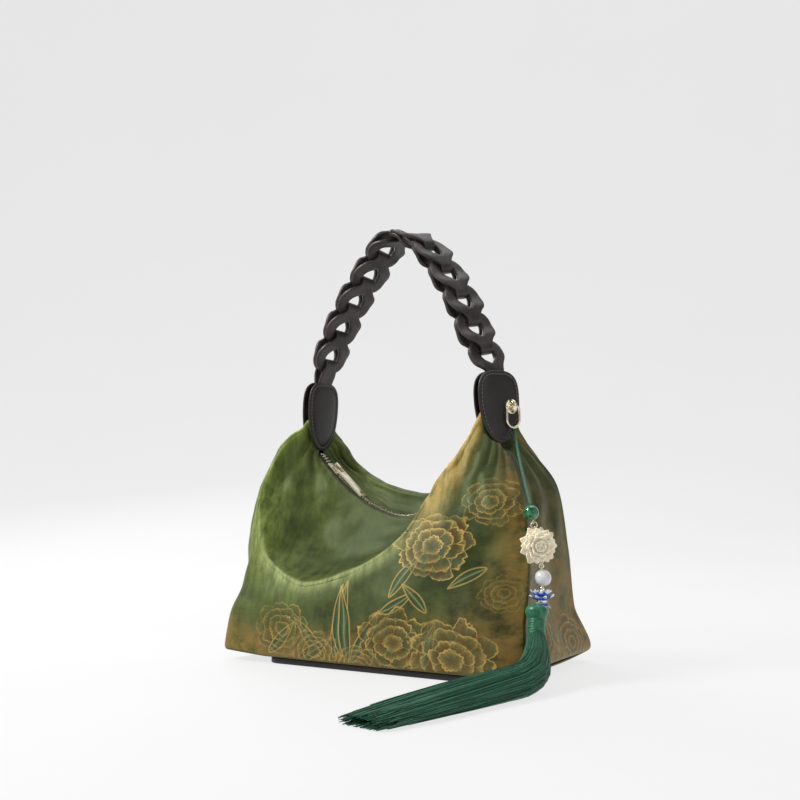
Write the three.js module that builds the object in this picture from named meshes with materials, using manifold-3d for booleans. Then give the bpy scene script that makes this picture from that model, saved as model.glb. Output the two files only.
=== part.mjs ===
// Small hobo handbag of printed silk: interlocked leather link handle, zip mouth and tassel charm.
// Millimetres, +Z up, front at -Y. Origin: centre of the underside of the leather base board.
import * as THREE from 'three';
import { mergeVertices } from 'three/addons/utils/BufferGeometryUtils.js';
import Module from 'manifold-3d';

const wasm = await Module();
wasm.setup();

// Driving dimensions
const baseWidth = 268;          // between the flared bottom corners
const baseDepth = 147;
const boardWidth = 186;         // leather base board
const boardDepth = 146;
const boardThick = 5;
const boardCorner = 12;
const cornerLift = 2.4;         // how far the fabric corners stand off the floor level of the rest
const wall = 1.5;               // silk with its backing
const gap = 0.3;                // clearance between pieces
const tolerance = 0.12;         // how far joined and cut pieces may be simplified
const tabWidth = 42;
const tabHeight = 61;
const tabTop = 238.7;           // height of the left tab's top edge
const rightTabLift = 2;         // the right end is pulled up a little
const tabHalfSpan = { left: 87.8, right: 84.3 };     // centre of the bag to the middle of a tab's top
const tabLeanDeg = 3;
const tabTurnDeg = { left: 4, right: 27 };
const leafThick = 1.8;
const leafCrown = 1.4;          // how far a tab leaf bows out in the middle
const tuckRadius = 1.9;         // fabric folded double between the leaves of a tab
const tuckCover = 5;            // how far a leaf covers the fabric
const zipSag = 58;              // drop of the zip from the tabs to its lowest point
const mouthHalf = 6;            // zip centre line to a panel's edge
const toothHalf = 3.5;
const zipStep = 9;              // length of one straight stretch of the zip
const toothThick = 2.4;
const tapeThick = 1;
const handleRise = 126;
const linkCount = 10;
const linkHalf = 18;            // half the width of a link
const waistHalf = 6.5;
const linkHoleHalf = 7.8;
const linkLeather = 2.6;
const layerGap = 0.4;           // between the two layers of a folded link
const tipBand = 8;              // leather beyond a link's hole
const endLeather = 1.8;         // left strap end, folded through the last link
const ringLeather = 3.6;        // right strap end, two layers stitched flat
const ringReach = 22.4;         // right tab's top to the far edge of the strap end's hole
const strapReach = 17;          // left tab's top to the seat of its folded strap
const strapTuck = 14;           // strap hidden inside a tab
const ringWire = 2.2;
const ringWidth = 15;
const ringHeight = 19.5;
const bridgeWire = 3;
const cordDiameter = 3;
const beadRadius = 6;
const flowerRadius = 14;
const flowerDepth = 13;
const pearlRadius = 6.4;
const capRadius = 9;
const capHeight = 9;
const loopWire = 0.9;
const headRadius = 8.6;
const neckRadius = 6.6;
const neckLength = 15;
const sliderLength = 12;
const sliderWidth = 10;
const plateThick = 1.3;
const pullLength = 39;
const pullWidth = 9.5;
const pullThick = 1.6;
const pullBar = 2;              // bar round the pull's windows

const rad = THREE.MathUtils.degToRad;
const lerp = THREE.MathUtils.lerp;
const V = (x, y, z) => new THREE.Vector3(x, y, z);
const halfWidth = baseWidth / 2;
const halfDepth = baseDepth / 2;
const tipHeight = tabTop - tabHeight;
const tipHalf = tabHalfSpan.left + tabHeight * Math.sin(rad(tabLeanDeg));

const materials = {
  silk: new THREE.MeshStandardMaterial({ color: 0x5d6b35, roughness: 0.45, metalness: 0 }),
  leather: new THREE.MeshStandardMaterial({ color: 0x2a2422, roughness: 0.5, metalness: 0 }),
  gold: new THREE.MeshStandardMaterial({ color: 0xd9c48c, roughness: 0.25, metalness: 1 }),
  tape: new THREE.MeshStandardMaterial({ color: 0x3a3f28, roughness: 0.8, metalness: 0 }),
  cord: new THREE.MeshStandardMaterial({ color: 0x2f6b4a, roughness: 0.6, metalness: 0 }),
  glass: new THREE.MeshStandardMaterial({ color: 0x12663a, roughness: 0.1, metalness: 0 }),
  resin: new THREE.MeshStandardMaterial({ color: 0xeadfc4, roughness: 0.45, metalness: 0 }),
  pearl: new THREE.MeshStandardMaterial({ color: 0xf2efe9, roughness: 0.2, metalness: 0 }),
  enamel: new THREE.MeshStandardMaterial({ color: 0x1f4fae, roughness: 0.2, metalness: 0 }),
  thread: new THREE.MeshStandardMaterial({ color: 0x1f6b47, roughness: 0.55, metalness: 0 }),
};

const bag = new THREE.Group();

function addMesh(name, geometry, material, parent = bag) {
  const mesh = new THREE.Mesh(geometry, material);
  mesh.name = name;
  parent.add(mesh);
  return mesh;
}

// Mesh helpers

// A closed body from its points and triangles, turned so that its faces point out
function geometryOf(points, triangles) {
  const volume = (k) => points[triangles[k]]
    .dot(points[triangles[k + 1]].clone().cross(points[triangles[k + 2]]));
  let total = 0;
  for (let k = 0; k < triangles.length; k += 3) total += volume(k);
  if (total < 0) triangles.reverse();
  const geometry = new THREE.BufferGeometry();
  const places = points.flatMap((p) => [p.x, p.y, p.z]);
  geometry.setAttribute('position', new THREE.Float32BufferAttribute(places, 3));
  geometry.setIndex(triangles);
  return geometry;
}

// A wall of even thickness on one side of a grid of points, which lie on its outer face.
// settle keeps the inner face off what the wall stands on.
function sheetSolid(grid, thick, side = 1, settle = (p) => p) {
  const rows = grid.length;
  const cols = grid[0].length;
  const at = (i, j) => grid[THREE.MathUtils.clamp(i, 0, rows - 1)][THREE.MathUtils.clamp(j, 0, cols - 1)];
  const outer = [];
  const inner = [];
  for (let i = 0; i < rows; i += 1) {
    for (let j = 0; j < cols; j += 1) {
      const along = at(i + 1, j).clone().sub(at(i - 1, j));
      const across = at(i, j + 1).clone().sub(at(i, j - 1));
      const normal = along.cross(across).normalize().multiplyScalar(-side * thick);
      outer.push(at(i, j).clone());
      inner.push(settle(at(i, j).clone().add(normal)));
    }
  }
  const points = outer.concat(inner);
  const count = rows * cols;
  const triangles = [];
  const quad = (a, b, c, d) => triangles.push(a, b, c, a, c, d);
  for (let i = 0; i + 1 < rows; i += 1) {
    for (let j = 0; j + 1 < cols; j += 1) {
      const a = i * cols + j;
      quad(a, a + cols, a + cols + 1, a + 1);
      quad(a + count, a + 1 + count, a + cols + 1 + count, a + cols + count);
    }
  }
  for (let i = 0; i + 1 < rows; i += 1) {
    const a = i * cols;
    const b = a + cols - 1;
    quad(a, a + count, a + cols + count, a + cols);
    quad(b, b + cols, b + cols + count, b + count);
  }
  for (let j = 0; j + 1 < cols; j += 1) {
    const b = (rows - 1) * cols + j;
    quad(j, j + 1, j + 1 + count, j + count);
    quad(b, b + count, b + 1 + count, b + 1);
  }
  return geometryOf(points, triangles);
}

// A closed body through rings of equal count, its ends closed by fans.
function loftSolid(rings) {
  const sides = rings[0].length;
  const points = rings.flat();
  const triangles = [];
  for (let i = 0; i + 1 < rings.length; i += 1) {
    for (let j = 0; j < sides; j += 1) {
      const a = i * sides + j;
      const b = i * sides + ((j + 1) % sides);
      triangles.push(a, b, b + sides, a, b + sides, a + sides);
    }
  }
  const middle = (ring) => ring.reduce((sum, p) => sum.add(p), V(0, 0, 0)).divideScalar(sides);
  const first = points.push(middle(rings[0])) - 1;
  const last = points.push(middle(rings[rings.length - 1])) - 1;
  const top = (rings.length - 1) * sides;
  for (let j = 0; j < sides; j += 1) {
    triangles.push(first, (j + 1) % sides, j);
    triangles.push(last, top + j, top + ((j + 1) % sides));
  }
  return geometryOf(points, triangles);
}

// A flat strap with a hole down its middle: rows hold { place(w, n), half, hole }, walls included.
function strapSolid(rows, thick) {
  const points = [];
  const corner = rows.map((row) => {
    const add = (w, n) => points.push(row.place(w, n)) - 1;
    const face = (n) => {
      const left = add(-row.half, n);
      const innerLeft = add(-row.hole, n);
      const innerRight = row.hole > 0 ? add(row.hole, n) : innerLeft;
      return [left, innerLeft, innerRight, add(row.half, n)];
    };
    return { top: face(thick / 2), low: face(-thick / 2) };
  });
  const triangles = [];
  const quad = (a, b, c, d) => {
    if (a !== b && b !== c && a !== c) triangles.push(a, b, c);
    if (a !== c && c !== d && a !== d) triangles.push(a, c, d);
  };
  for (let i = 0; i + 1 < rows.length; i += 1) {
    const p = corner[i];
    const q = corner[i + 1];
    for (const k of [0, 2]) {
      quad(p.top[k], p.top[k + 1], q.top[k + 1], q.top[k]);
      quad(p.low[k], q.low[k], q.low[k + 1], p.low[k + 1]);
    }
    quad(p.low[0], p.top[0], q.top[0], q.low[0]);
    quad(p.low[3], q.low[3], q.top[3], p.top[3]);
    if (rows[i].hole > 0 || rows[i + 1].hole > 0) {
      quad(p.low[1], q.low[1], q.top[1], p.top[1]);
      quad(p.low[2], p.top[2], q.top[2], q.low[2]);
    }
  }
  const first = corner[0];
  const last = corner[corner.length - 1];
  for (const k of [0, 2]) {
    quad(first.low[k], first.low[k + 1], first.top[k + 1], first.top[k]);
    quad(last.low[k], last.top[k], last.top[k + 1], last.low[k + 1]);
  }
  return geometryOf(points, triangles);
}

function solidOf(geometry) {
  const bare = geometry.clone();
  bare.deleteAttribute('normal');
  bare.deleteAttribute('uv');
  const merged = mergeVertices(bare, 1e-5);
  return new wasm.Manifold(new wasm.Mesh({
    numProp: 3,
    vertProperties: new Float32Array(merged.attributes.position.array),
    triVerts: new Uint32Array(merged.index.array),
  }));
}

function geometryFrom(solid) {
  const mesh = solid.simplify(tolerance).getMesh();
  const geometry = new THREE.BufferGeometry();
  geometry.setAttribute('position', new THREE.BufferAttribute(mesh.vertProperties, 3));
  geometry.setIndex(new THREE.BufferAttribute(mesh.triVerts, 1));
  return geometry;
}

const fuse = (geometries) => geometryFrom(geometries.map(solidOf).reduce((sum, next) => sum.add(next)));

// The largest body left of a piece once its neighbours, grown by the clearance, are cut away
function trim(geometry, neighbours) {
  const left = neighbours.map(solidOf).reduce((body, next) => body.subtract(next), solidOf(geometry));
  return geometryFrom(left.decompose().reduce((a, b) => (b.volume() > a.volume() ? b : a)));
}

// Frame of a tab: across its width towards the back, up along it, and out of its outer face

function tabFrame(side) {
  const name = side > 0 ? 'right' : 'left';
  const turn = rad(tabTurnDeg[name]);
  const lean = rad(tabLeanDeg);
  const up = V(-side * Math.sin(lean), 0, Math.cos(lean));
  const out = V(Math.sin(turn), Math.cos(turn), 0).cross(up).normalize().multiplyScalar(side);
  const across = up.clone().cross(out).multiplyScalar(side);
  const top = tabTop + (side > 0 ? rightTabLift : 0);
  const middle = V(side * tabHalfSpan[name], 0, top).addScaledVector(up, -tabHeight / 2);
  return { up, out, across, middle };
}

const tabs = { left: tabFrame(-1), right: tabFrame(1) };

function onTab(tab, w, u, n) {
  return tab.middle.clone()
    .addScaledVector(tab.across, w).addScaledVector(tab.up, u).addScaledVector(tab.out, n);
}

const tuckDrop = tabHeight / 2 - tuckCover;      // below a tab's middle, where its tip holds the fabric
const tuckSide = tabWidth / 2 - tuckCover;

// Mouth: the zip hangs in a long U between the tips of the tabs

function zipLine(x) {
  return V(x, 0, tipHeight - zipSag * (1 - Math.abs(x / tipHalf) ** 1.8));
}

// Fabric standing height of the bottom edge: board, bottom panel and clearances, lifted at the corners

function bottomLift(x, y) {
  const reach = THREE.MathUtils.clamp((Math.abs(x) - boardWidth / 2) / (halfWidth - boardWidth / 2), 0, 1);
  return cornerLift * reach * (y / halfDepth) ** 2;
}

const seatHeight = (x, y) => boardThick + gap + wall + gap + bottomLift(x, y);
const onSeat = (p) => p.setZ(Math.max(p.z, seatHeight(p.x, p.y)));

// Sections of the front and back panels, from the left tab round to the right one.
// seam and fold places are shares of half the base's width and depth and of the tab tips' height,
// zip is a share of the zip's half span; radius, belly and hollow are millimetres.
const frontSections = [
  { seamX: -0.866, seamY: -0.300, seamZ: 0.843, foldX: -0.828, foldY: -0.435, foldZ: 1.005,
    zip: -0.93, radius: 4, belly: 2, hollow: 1 },
  { seamX: -0.945, seamY: -0.571, seamZ: 0.534, foldX: -0.870, foldY: -0.653, foldZ: 0.815,
    zip: -0.84, radius: 7, belly: 3, hollow: 4 },
  { seamX: -0.945, seamY: -0.762, seamZ: 0.253, foldX: -0.825, foldY: -0.789, foldZ: 0.640,
    zip: -0.70, radius: 8, belly: 4, hollow: 9 },
  { seamX: -1.000, seamY: -1.000, seamZ: 0.000, foldX: -0.740, foldY: -0.890, foldZ: 0.488,
    zip: -0.54, radius: 7, belly: 4, hollow: 12 },
  { seamX: -0.560, seamY: -1.034, seamZ: 0.000, foldX: -0.440, foldY: -0.966, foldZ: 0.372,
    zip: -0.34, radius: 6, belly: 5, hollow: 13 },
  { seamX: 0.000, seamY: -1.050, seamZ: 0.000, foldX: -0.075, foldY: -0.980, foldZ: 0.438,
    zip: -0.06, radius: 5, belly: 6, hollow: 10 },
  { seamX: 0.522, seamY: -1.034, seamZ: 0.000, foldX: 0.235, foldY: -0.898, foldZ: 0.592,
    zip: 0.22, radius: 5, belly: 6, hollow: 6 },
  { seamX: 1.000, seamY: -1.000, seamZ: 0.000, foldX: 0.345, foldY: -0.776, foldZ: 0.732,
    zip: 0.42, radius: 5, belly: 5, hollow: 4 },
  { seamX: 0.993, seamY: -0.762, seamZ: 0.253, foldX: 0.408, foldY: -0.653, foldZ: 0.823,
    zip: 0.56, radius: 4, belly: 5, hollow: 3 },
  { seamX: 0.978, seamY: -0.571, seamZ: 0.534, foldX: 0.480, foldY: -0.530, foldZ: 0.918,
    zip: 0.72, radius: 4, belly: 4, hollow: 3 },
  { seamX: 0.851, seamY: -0.300, seamZ: 0.843, foldX: 0.545, foldY: -0.395, foldZ: 1.015,
    zip: 0.88, radius: 3, belly: 2, hollow: 1 },
];
const backSections = [
  { seamX: -0.851, seamY: 0.463, seamZ: 0.843, foldX: -0.602, foldY: 0.310, foldZ: 1.030,
    zip: -0.90, radius: 3, belly: 3, hollow: 1 },
  { seamX: -0.918, seamY: 0.653, seamZ: 0.534, foldX: -0.493, foldY: 0.310, foldZ: 0.940,
    zip: -0.76, radius: 4, belly: 6, hollow: 2 },
  { seamX: -0.948, seamY: 0.816, seamZ: 0.253, foldX: -0.400, foldY: 0.313, foldZ: 0.888,
    zip: -0.60, radius: 5, belly: 9, hollow: 3 },
  { seamX: -1.000, seamY: 1.000, seamZ: 0.000, foldX: -0.310, foldY: 0.313, foldZ: 0.848,
    zip: -0.46, radius: 5, belly: 10, hollow: 3 },
  { seamX: -0.530, seamY: 1.040, seamZ: 0.000, foldX: -0.160, foldY: 0.300, foldZ: 0.808,
    zip: -0.24, radius: 5, belly: 11, hollow: 3 },
  { seamX: 0.000, seamY: 1.055, seamZ: 0.000, foldX: 0.030, foldY: 0.286, foldZ: 0.788,
    zip: 0.01, radius: 5, belly: 12, hollow: 3 },
  { seamX: 0.530, seamY: 1.040, seamZ: 0.000, foldX: 0.210, foldY: 0.300, foldZ: 0.808,
    zip: 0.28, radius: 5, belly: 11, hollow: 3 },
  { seamX: 1.000, seamY: 1.000, seamZ: 0.000, foldX: 0.358, foldY: 0.313, foldZ: 0.854,
    zip: 0.48, radius: 5, belly: 10, hollow: 3 },
  { seamX: 0.948, seamY: 0.816, seamZ: 0.253, foldX: 0.448, foldY: 0.313, foldZ: 0.900,
    zip: 0.62, radius: 5, belly: 9, hollow: 3 },
  { seamX: 0.945, seamY: 0.653, seamZ: 0.534, foldX: 0.545, foldY: 0.313, foldZ: 0.958,
    zip: 0.77, radius: 4, belly: 6, hollow: 2 },
  { seamX: 0.905, seamY: 0.463, seamZ: 0.843, foldX: 0.636, foldY: 0.310, foldZ: 1.045,
    zip: 0.90, radius: 3, belly: 3, hollow: 1 },
];
const cornerRow = 4;            // sections from a tab to a bottom corner, the tab's own one included

// The section that a tab holds: both layers of the fabric lie flat between its leaves.
function tuckedSection(tab, facing) {
  const seamAcross = facing < 0 ? 1 : tuckSide / 2;
  const seamUp = facing < 0 ? -tuckDrop : -tuckDrop * 0.68;
  return {
    seam: onTab(tab, seamAcross, seamUp, tuckRadius),
    fold: onTab(tab, facing * tuckSide, -tuckDrop * 0.16, 0),
    zip: onTab(tab, facing * (gap + 1.2), -tuckDrop, -tuckRadius),
    shape: V(tuckRadius, 0, 0),
  };
}

function looseSection(row, facing) {
  const x = row.seamX * halfWidth;
  const y = row.seamY * halfDepth;
  const zip = zipLine(row.zip * tipHalf);
  return {
    seam: V(x, y, Math.max(row.seamZ * tipHeight, seatHeight(x, y))),
    fold: V(row.foldX * halfWidth, row.foldY * halfDepth, row.foldZ * tipHeight),
    zip: zip.setY(facing * mouthHalf),
    shape: V(row.radius, row.belly, row.hollow),
  };
}

function panelCurves(rows, facing) {
  const sections = [
    tuckedSection(tabs.left, facing),
    ...rows.map((row) => looseSection(row, facing)),
    tuckedSection(tabs.right, facing),
  ];
  const curve = (key) => new THREE.CatmullRomCurve3(sections.map((s) => s[key]), false, 'catmullrom', 0.4);
  return { seam: curve('seam'), fold: curve('fold'), zip: curve('zip'), shape: curve('shape') };
}

const front = panelCurves(frontSections, -1);
const back = panelCurves(backSections, 1);

// One section: up the outside from the seam, round the fold, then in to the zip.
function sectionPoints(curves, t) {
  const seam = onSeat(curves.seam.getPoint(t));
  const fold = curves.fold.getPoint(t);
  const zip = curves.zip.getPoint(t);
  const { x: radius, y: belly, z: hollow } = curves.shape.getPoint(t);
  const toSeam = seam.clone().sub(fold).normalize();
  const toZip = zip.clone().sub(fold).normalize();
  const crown = toSeam.clone().add(toZip).negate().normalize();
  const seamSide = toZip.clone().addScaledVector(toSeam, -toZip.dot(toSeam)).negate().normalize();
  const zipSide = toSeam.clone().addScaledVector(toZip, -toSeam.dot(toZip)).negate().normalize();
  const centre = fold.clone().addScaledVector(crown, -radius);
  const onFold = (direction) => centre.clone().addScaledVector(direction.clone().normalize(), radius);
  const start = onFold(seamSide);
  const end = onFold(zipSide);
  const bow = (a, b, direction, size) => a.clone().lerp(b, 0.5).addScaledVector(direction, 2 * size);
  const outside = new THREE.QuadraticBezierCurve3(seam, bow(seam, start, seamSide, belly), start);
  const inside = new THREE.QuadraticBezierCurve3(end, bow(end, zip, zipSide, -hollow), zip);
  return [
    ...[0, 0.27, 0.54, 0.8, 1].map((s) => outside.getPoint(s)),
    onFold(seamSide.clone().add(crown)),
    onFold(crown),
    onFold(crown.clone().add(zipSide)),
    ...[0, 0.33, 0.67, 1].map((s) => inside.getPoint(s)),
  ];
}

function panelGrid(curves, steps) {
  return Array.from({ length: steps + 1 }, (_, i) => sectionPoints(curves, i / steps));
}

const panelSteps = 2 * (frontSections.length + 1);

// Gussets: between the front and back seams, from a tab down to the bottom corners.
// The edges stop short of the seams so that a panel's own edge stands between.
const gussetHollow = 5;         // the sides draw in between their seams
const seamInset = wall + gap + 1;

function gussetGrid(side) {
  const rows = 10;
  const cols = 6;
  const reach = cornerRow / (frontSections.length + 1);
  return Array.from({ length: rows + 1 }, (_, i) => {
    const along = (i / rows) * reach;
    const t = side < 0 ? along : 1 - along;
    const a = front.seam.getPoint(t);
    const b = back.seam.getPoint(t);
    const inset = seamInset / a.distanceTo(b);
    return Array.from({ length: cols + 1 }, (__, j) => {
      const s = lerp(inset, 1 - inset, j / cols);
      const p = a.clone().lerp(b, s);
      p.x -= side * gussetHollow * Math.sin(Math.PI * s) * Math.sin(Math.PI * (i / rows) ** 1.6);
      if (i === rows) p.z = seatHeight(p.x, p.y);
      return p;
    });
  });
}

// Bottom panel of silk over the leather base board

function bottomGrid() {
  const cols = 4;
  const steps = 12;
  const corner = cornerRow / (frontSections.length + 1);
  return Array.from({ length: steps + 1 }, (_, i) => {
    const t = lerp(corner, 1 - corner, i / steps);
    const a = front.seam.getPoint(t);
    const b = back.seam.getPoint(t);
    return Array.from({ length: cols + 1 }, (__, j) => {
      const p = a.clone().lerp(b, j / cols);
      p.z = seatHeight(p.x, p.y) - gap;
      return p;
    });
  });
}

addMesh('bottom_panel', sheetSolid(bottomGrid(), wall), materials.silk);

function roundedRectangle(width, depth, corner) {
  const x = width / 2;
  const y = depth / 2;
  const shape = new THREE.Shape();
  shape.moveTo(-x + corner, -y);
  shape.lineTo(x - corner, -y);
  shape.absarc(x - corner, -y + corner, corner, -Math.PI / 2, 0, false);
  shape.lineTo(x, y - corner);
  shape.absarc(x - corner, y - corner, corner, 0, Math.PI / 2, false);
  shape.lineTo(-x + corner, y);
  shape.absarc(-x + corner, y - corner, corner, Math.PI / 2, Math.PI, false);
  shape.lineTo(-x, -y + corner);
  shape.absarc(-x + corner, -y + corner, corner, Math.PI, 1.5 * Math.PI, false);
  return shape;
}

const boardShape = roundedRectangle(boardWidth, boardDepth, boardCorner);
const boardGeometry = new THREE.ExtrudeGeometry(boardShape, {
  depth: boardThick, bevelEnabled: false, curveSegments: 4,
});
addMesh('base_board', boardGeometry, materials.leather);

// Tabs: two leather leaves at each end of the mouth, over the fabric and the strap ends

const leafOutline = [           // up: share of half the height, half: share of half the width
  { up: -1.00, half: 0.16 },
  { up: -0.90, half: 0.42 },
  { up: -0.68, half: 0.68 },
  { up: -0.36, half: 0.88 },
  { up: 0.05, half: 0.99 },
  { up: 0.45, half: 1.00 },
  { up: 0.75, half: 0.92 },
  { up: 0.93, half: 0.68 },
  { up: 1.00, half: 0.40 },
];

function leafGeometry(tab, facing, grow = 0) {
  const cols = 4;
  const grid = leafOutline.map(({ up, half }) => Array.from({ length: cols + 1 }, (_, j) => {
    const s = (2 * j) / cols - 1;
    const crown = leafCrown * (1 - s * s) * (1 - up * up);
    const face = tuckRadius + gap + leafThick + crown + grow;
    return onTab(tab, s * (half * tabWidth / 2 + grow), up * (tabHeight / 2 + grow), facing * face);
  }));
  const outward = tab.up.clone().cross(tab.across).dot(tab.out) * facing;
  return sheetSolid(grid, leafThick + 2 * grow, Math.sign(outward));
}

const roundTabs = Object.values(tabs).flatMap((tab) => [leafGeometry(tab, 1, gap), leafGeometry(tab, -1, gap)]);

for (const [side, tab] of Object.entries(tabs)) {
  addMesh(`${side}_tab_outer`, leafGeometry(tab, 1), materials.leather);
  addMesh(`${side}_tab_inner`, leafGeometry(tab, -1), materials.leather);
}

// Handle: a chain of folded leather links along an arch from the right tab to the left one.
// across: share of that side's half span, rise: share of the handle's rise.
const archLine = [
  { across: 1.00, rise: 0.00 },
  { across: 0.925, rise: 0.09 },
  { across: 0.80, rise: 0.25 },
  { across: 0.655, rise: 0.475 },
  { across: 0.46, rise: 0.695 },
  { across: 0.24, rise: 0.885 },
  { across: 0.00, rise: 0.975 },
  { across: -0.22, rise: 0.915 },
  { across: -0.375, rise: 0.785 },
  { across: -0.55, rise: 0.625 },
  { across: -0.705, rise: 0.455 },
  { across: -0.835, rise: 0.28 },
  { across: -0.945, rise: 0.10 },
  { across: -0.985, rise: 0.00 },
];

const archCurve = (() => {
  const inside = (tab) => onTab(tab, 0, tabHeight / 2 - strapTuck, 0);
  const points = archLine.map(({ across, rise }, i) => {
    const lift = lerp(rightTabLift, 0, i / (archLine.length - 1));
    const halfSpan = across > 0 ? tabHalfSpan.right : tabHalfSpan.left;
    return V(across * halfSpan, 0, tabTop + lift + rise * handleRise);
  });
  return new THREE.CatmullRomCurve3([inside(tabs.right), ...points, inside(tabs.left)], false, 'centripetal');
})();
archCurve.arcLengthDivisions = 600;
const archLength = archCurve.getLength();
const linkPitch = (archLength - 2 * strapTuck - ringReach - strapReach) / linkCount;

// A place on the handle: distance along it from the right tab's top, across its width, out from the arch.
function onHandle(s, w, n) {
  const t = THREE.MathUtils.clamp((s + strapTuck) / archLength, 0, 1);
  const tangent = archCurve.getTangentAt(t);
  const turn = rad(lerp(tabTurnDeg.right, tabTurnDeg.left, t ** 3));
  const flat = V(Math.sin(turn), Math.cos(turn), 0);
  const across = flat.addScaledVector(tangent, -flat.dot(tangent)).normalize();
  const out = across.clone().cross(tangent);
  return archCurve.getPointAt(t).addScaledVector(across, w).addScaledVector(out, n);
}

const bandSeat = 0.4;           // far edge of a hole behind the next link's seat
const foldEase = 0.3;           // room for the bend of the arch where two links meet
const layersHalf = linkLeather + layerGap / 2;
const foldInner = layersHalf + gap + foldEase;

// Rows of a link's leg: at is a place along it, half and hole are shares of the link's and hole's half width
function linkRows(pitch) {
  const holeEnd = pitch - bandSeat;
  return [
    { at: 0, half: waistHalf / linkHalf, hole: 0 },
    { at: 7, half: 0.70, hole: 0 },
    { at: holeEnd - 16.6, half: 0.88, hole: 0 },
    { at: holeEnd - 13, half: 0.98, hole: 0.70 },
    { at: holeEnd - 4, half: 1.00, hole: 1.00 },
    { at: holeEnd - 0.5, half: 0.94, hole: 0.90 },
    { at: holeEnd, half: 0.92, hole: 0 },
    { at: holeEnd + tipBand * 0.6, half: 0.72, hole: 0 },
    { at: holeEnd + tipBand, half: 0.26, hole: 0 },
  ];
}

// A folded piece: a fold round the tip before it, then two legs that close up beyond that tip.
function foldedPiece(start, leather, legRows, closedHalf, forward = 1) {
  const bend = foldInner + leather / 2;
  const easeFrom = tipBand + 0.6;
  const easeTo = easeFrom + 12;
  const legRow = (row, side) => {
    const eased = THREE.MathUtils.smoothstep(row.at, easeFrom, easeTo);
    const offset = side * lerp(bend, closedHalf, eased);
    return {
      half: row.half * linkHalf,
      hole: row.hole * linkHoleHalf,
      place: (w, n) => onHandle(start + forward * row.at, w, offset + side * n),
    };
  };
  const foldRow = (angle) => ({
    half: waistHalf,
    hole: 0,
    place: (w, n) => {
      const reach = bend + n;
      return onHandle(start - forward * reach * Math.cos(angle), w, reach * Math.sin(angle));
    },
  });
  const angles = [-60, -30, 0, 30, 60].map(rad);
  return strapSolid([
    ...legRows.slice().reverse().map((row) => legRow(row, -1)),
    ...angles.map(foldRow),
    ...legRows.map((row) => legRow(row, 1)),
  ], leather);
}

const ringRows = [              // at: from the right tab's top
  { at: -strapTuck + 1, half: 0.50, hole: 0 },
  { at: 2, half: 0.54, hole: 0 },
  { at: 6, half: 0.74, hole: 0 },
  { at: 9, half: 0.92, hole: 0.52 },
  { at: 13, half: 1.00, hole: 0.95 },
  { at: 18, half: 0.99, hole: 1.00 },
  { at: ringReach - bandSeat - 0.6, half: 0.94, hole: 0.90 },
  { at: ringReach - bandSeat, half: 0.92, hole: 0 },
  { at: ringReach - bandSeat + tipBand * 0.6, half: 0.72, hole: 0 },
  { at: ringReach - bandSeat + tipBand, half: 0.26, hole: 0 },
];
const ringGeometry = strapSolid(ringRows.map((row) => ({
  half: row.half * linkHalf,
  hole: row.hole * linkHoleHalf,
  place: (w, n) => onHandle(row.at, w, n),
})), ringLeather);
addMesh('strap_end_right', trim(ringGeometry, roundTabs), materials.leather);

for (let i = 0; i < linkCount; i += 1) {
  const start = ringReach + i * linkPitch;
  const geometry = foldedPiece(start, linkLeather, linkRows(linkPitch), layersHalf - linkLeather / 2);
  addMesh(`handle_link_${String(i + 1).padStart(2, '0')}`, geometry, materials.leather);
}

const strapRows = [
  { at: 0, half: waistHalf / linkHalf, hole: 0 },
  { at: 6, half: 0.50, hole: 0 },
  { at: strapReach - 4, half: 0.58, hole: 0 },
  { at: strapReach, half: 0.58, hole: 0 },
  { at: strapReach + strapTuck - 1, half: 0.55, hole: 0 },
];
const strapStart = ringReach + linkCount * linkPitch;
const strapClosed = (endLeather + layerGap) / 2;
const strapGeometry = foldedPiece(strapStart, endLeather, strapRows, strapClosed);
addMesh('strap_end_left', trim(strapGeometry, roundTabs), materials.leather);

// Zip: a band of meshed teeth between two tapes, in two stretches either side of the slider's post

const zipReach = 0.93 * tipHalf;
const zipCurve = new THREE.CatmullRomCurve3(
  Array.from({ length: 41 }, (_, i) => zipLine(lerp(-zipReach, zipReach, i / 40))),
);
zipCurve.arcLengthDivisions = 400;
const zipLength = zipCurve.getLength();

function onZip(s, w, n) {
  const t = THREE.MathUtils.clamp(s / zipLength, 0, 1);
  const tangent = zipCurve.getTangentAt(t);
  const up = V(-tangent.z, 0, tangent.x);
  return zipCurve.getPointAt(t).add(V(0, w, 0)).addScaledVector(up, n);
}

function zipBand(from, to, middle, half, thick) {
  const steps = Math.max(2, Math.round((to - from) / zipStep));
  return strapSolid(Array.from({ length: steps + 1 }, (_, i) => ({
    half,
    hole: 0,
    place: (w, n) => onZip(lerp(from, to, i / steps), middle - w, n),
  })), thick);
}

const sliderPlace = 15;         // along the zip from its left end
const postHalf = 1.5;
const postPlace = sliderPlace - sliderLength / 2 + 3;
addMesh('zip_teeth_end', zipBand(0, postPlace - postHalf - gap, 0, toothHalf, toothThick), materials.gold);
addMesh('zip_teeth', zipBand(postPlace + postHalf + gap, zipLength, 0, toothHalf, toothThick), materials.gold);
const tapeHalf = (mouthHalf - toothHalf - 2 * gap) / 2;
for (const [name, facing] of [['zip_tape_front', -1], ['zip_tape_back', 1]]) {
  const middle = facing * (toothHalf + gap + tapeHalf);
  addMesh(name, zipBand(0, zipLength, middle, tapeHalf, tapeThick), materials.tape);
}

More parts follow.
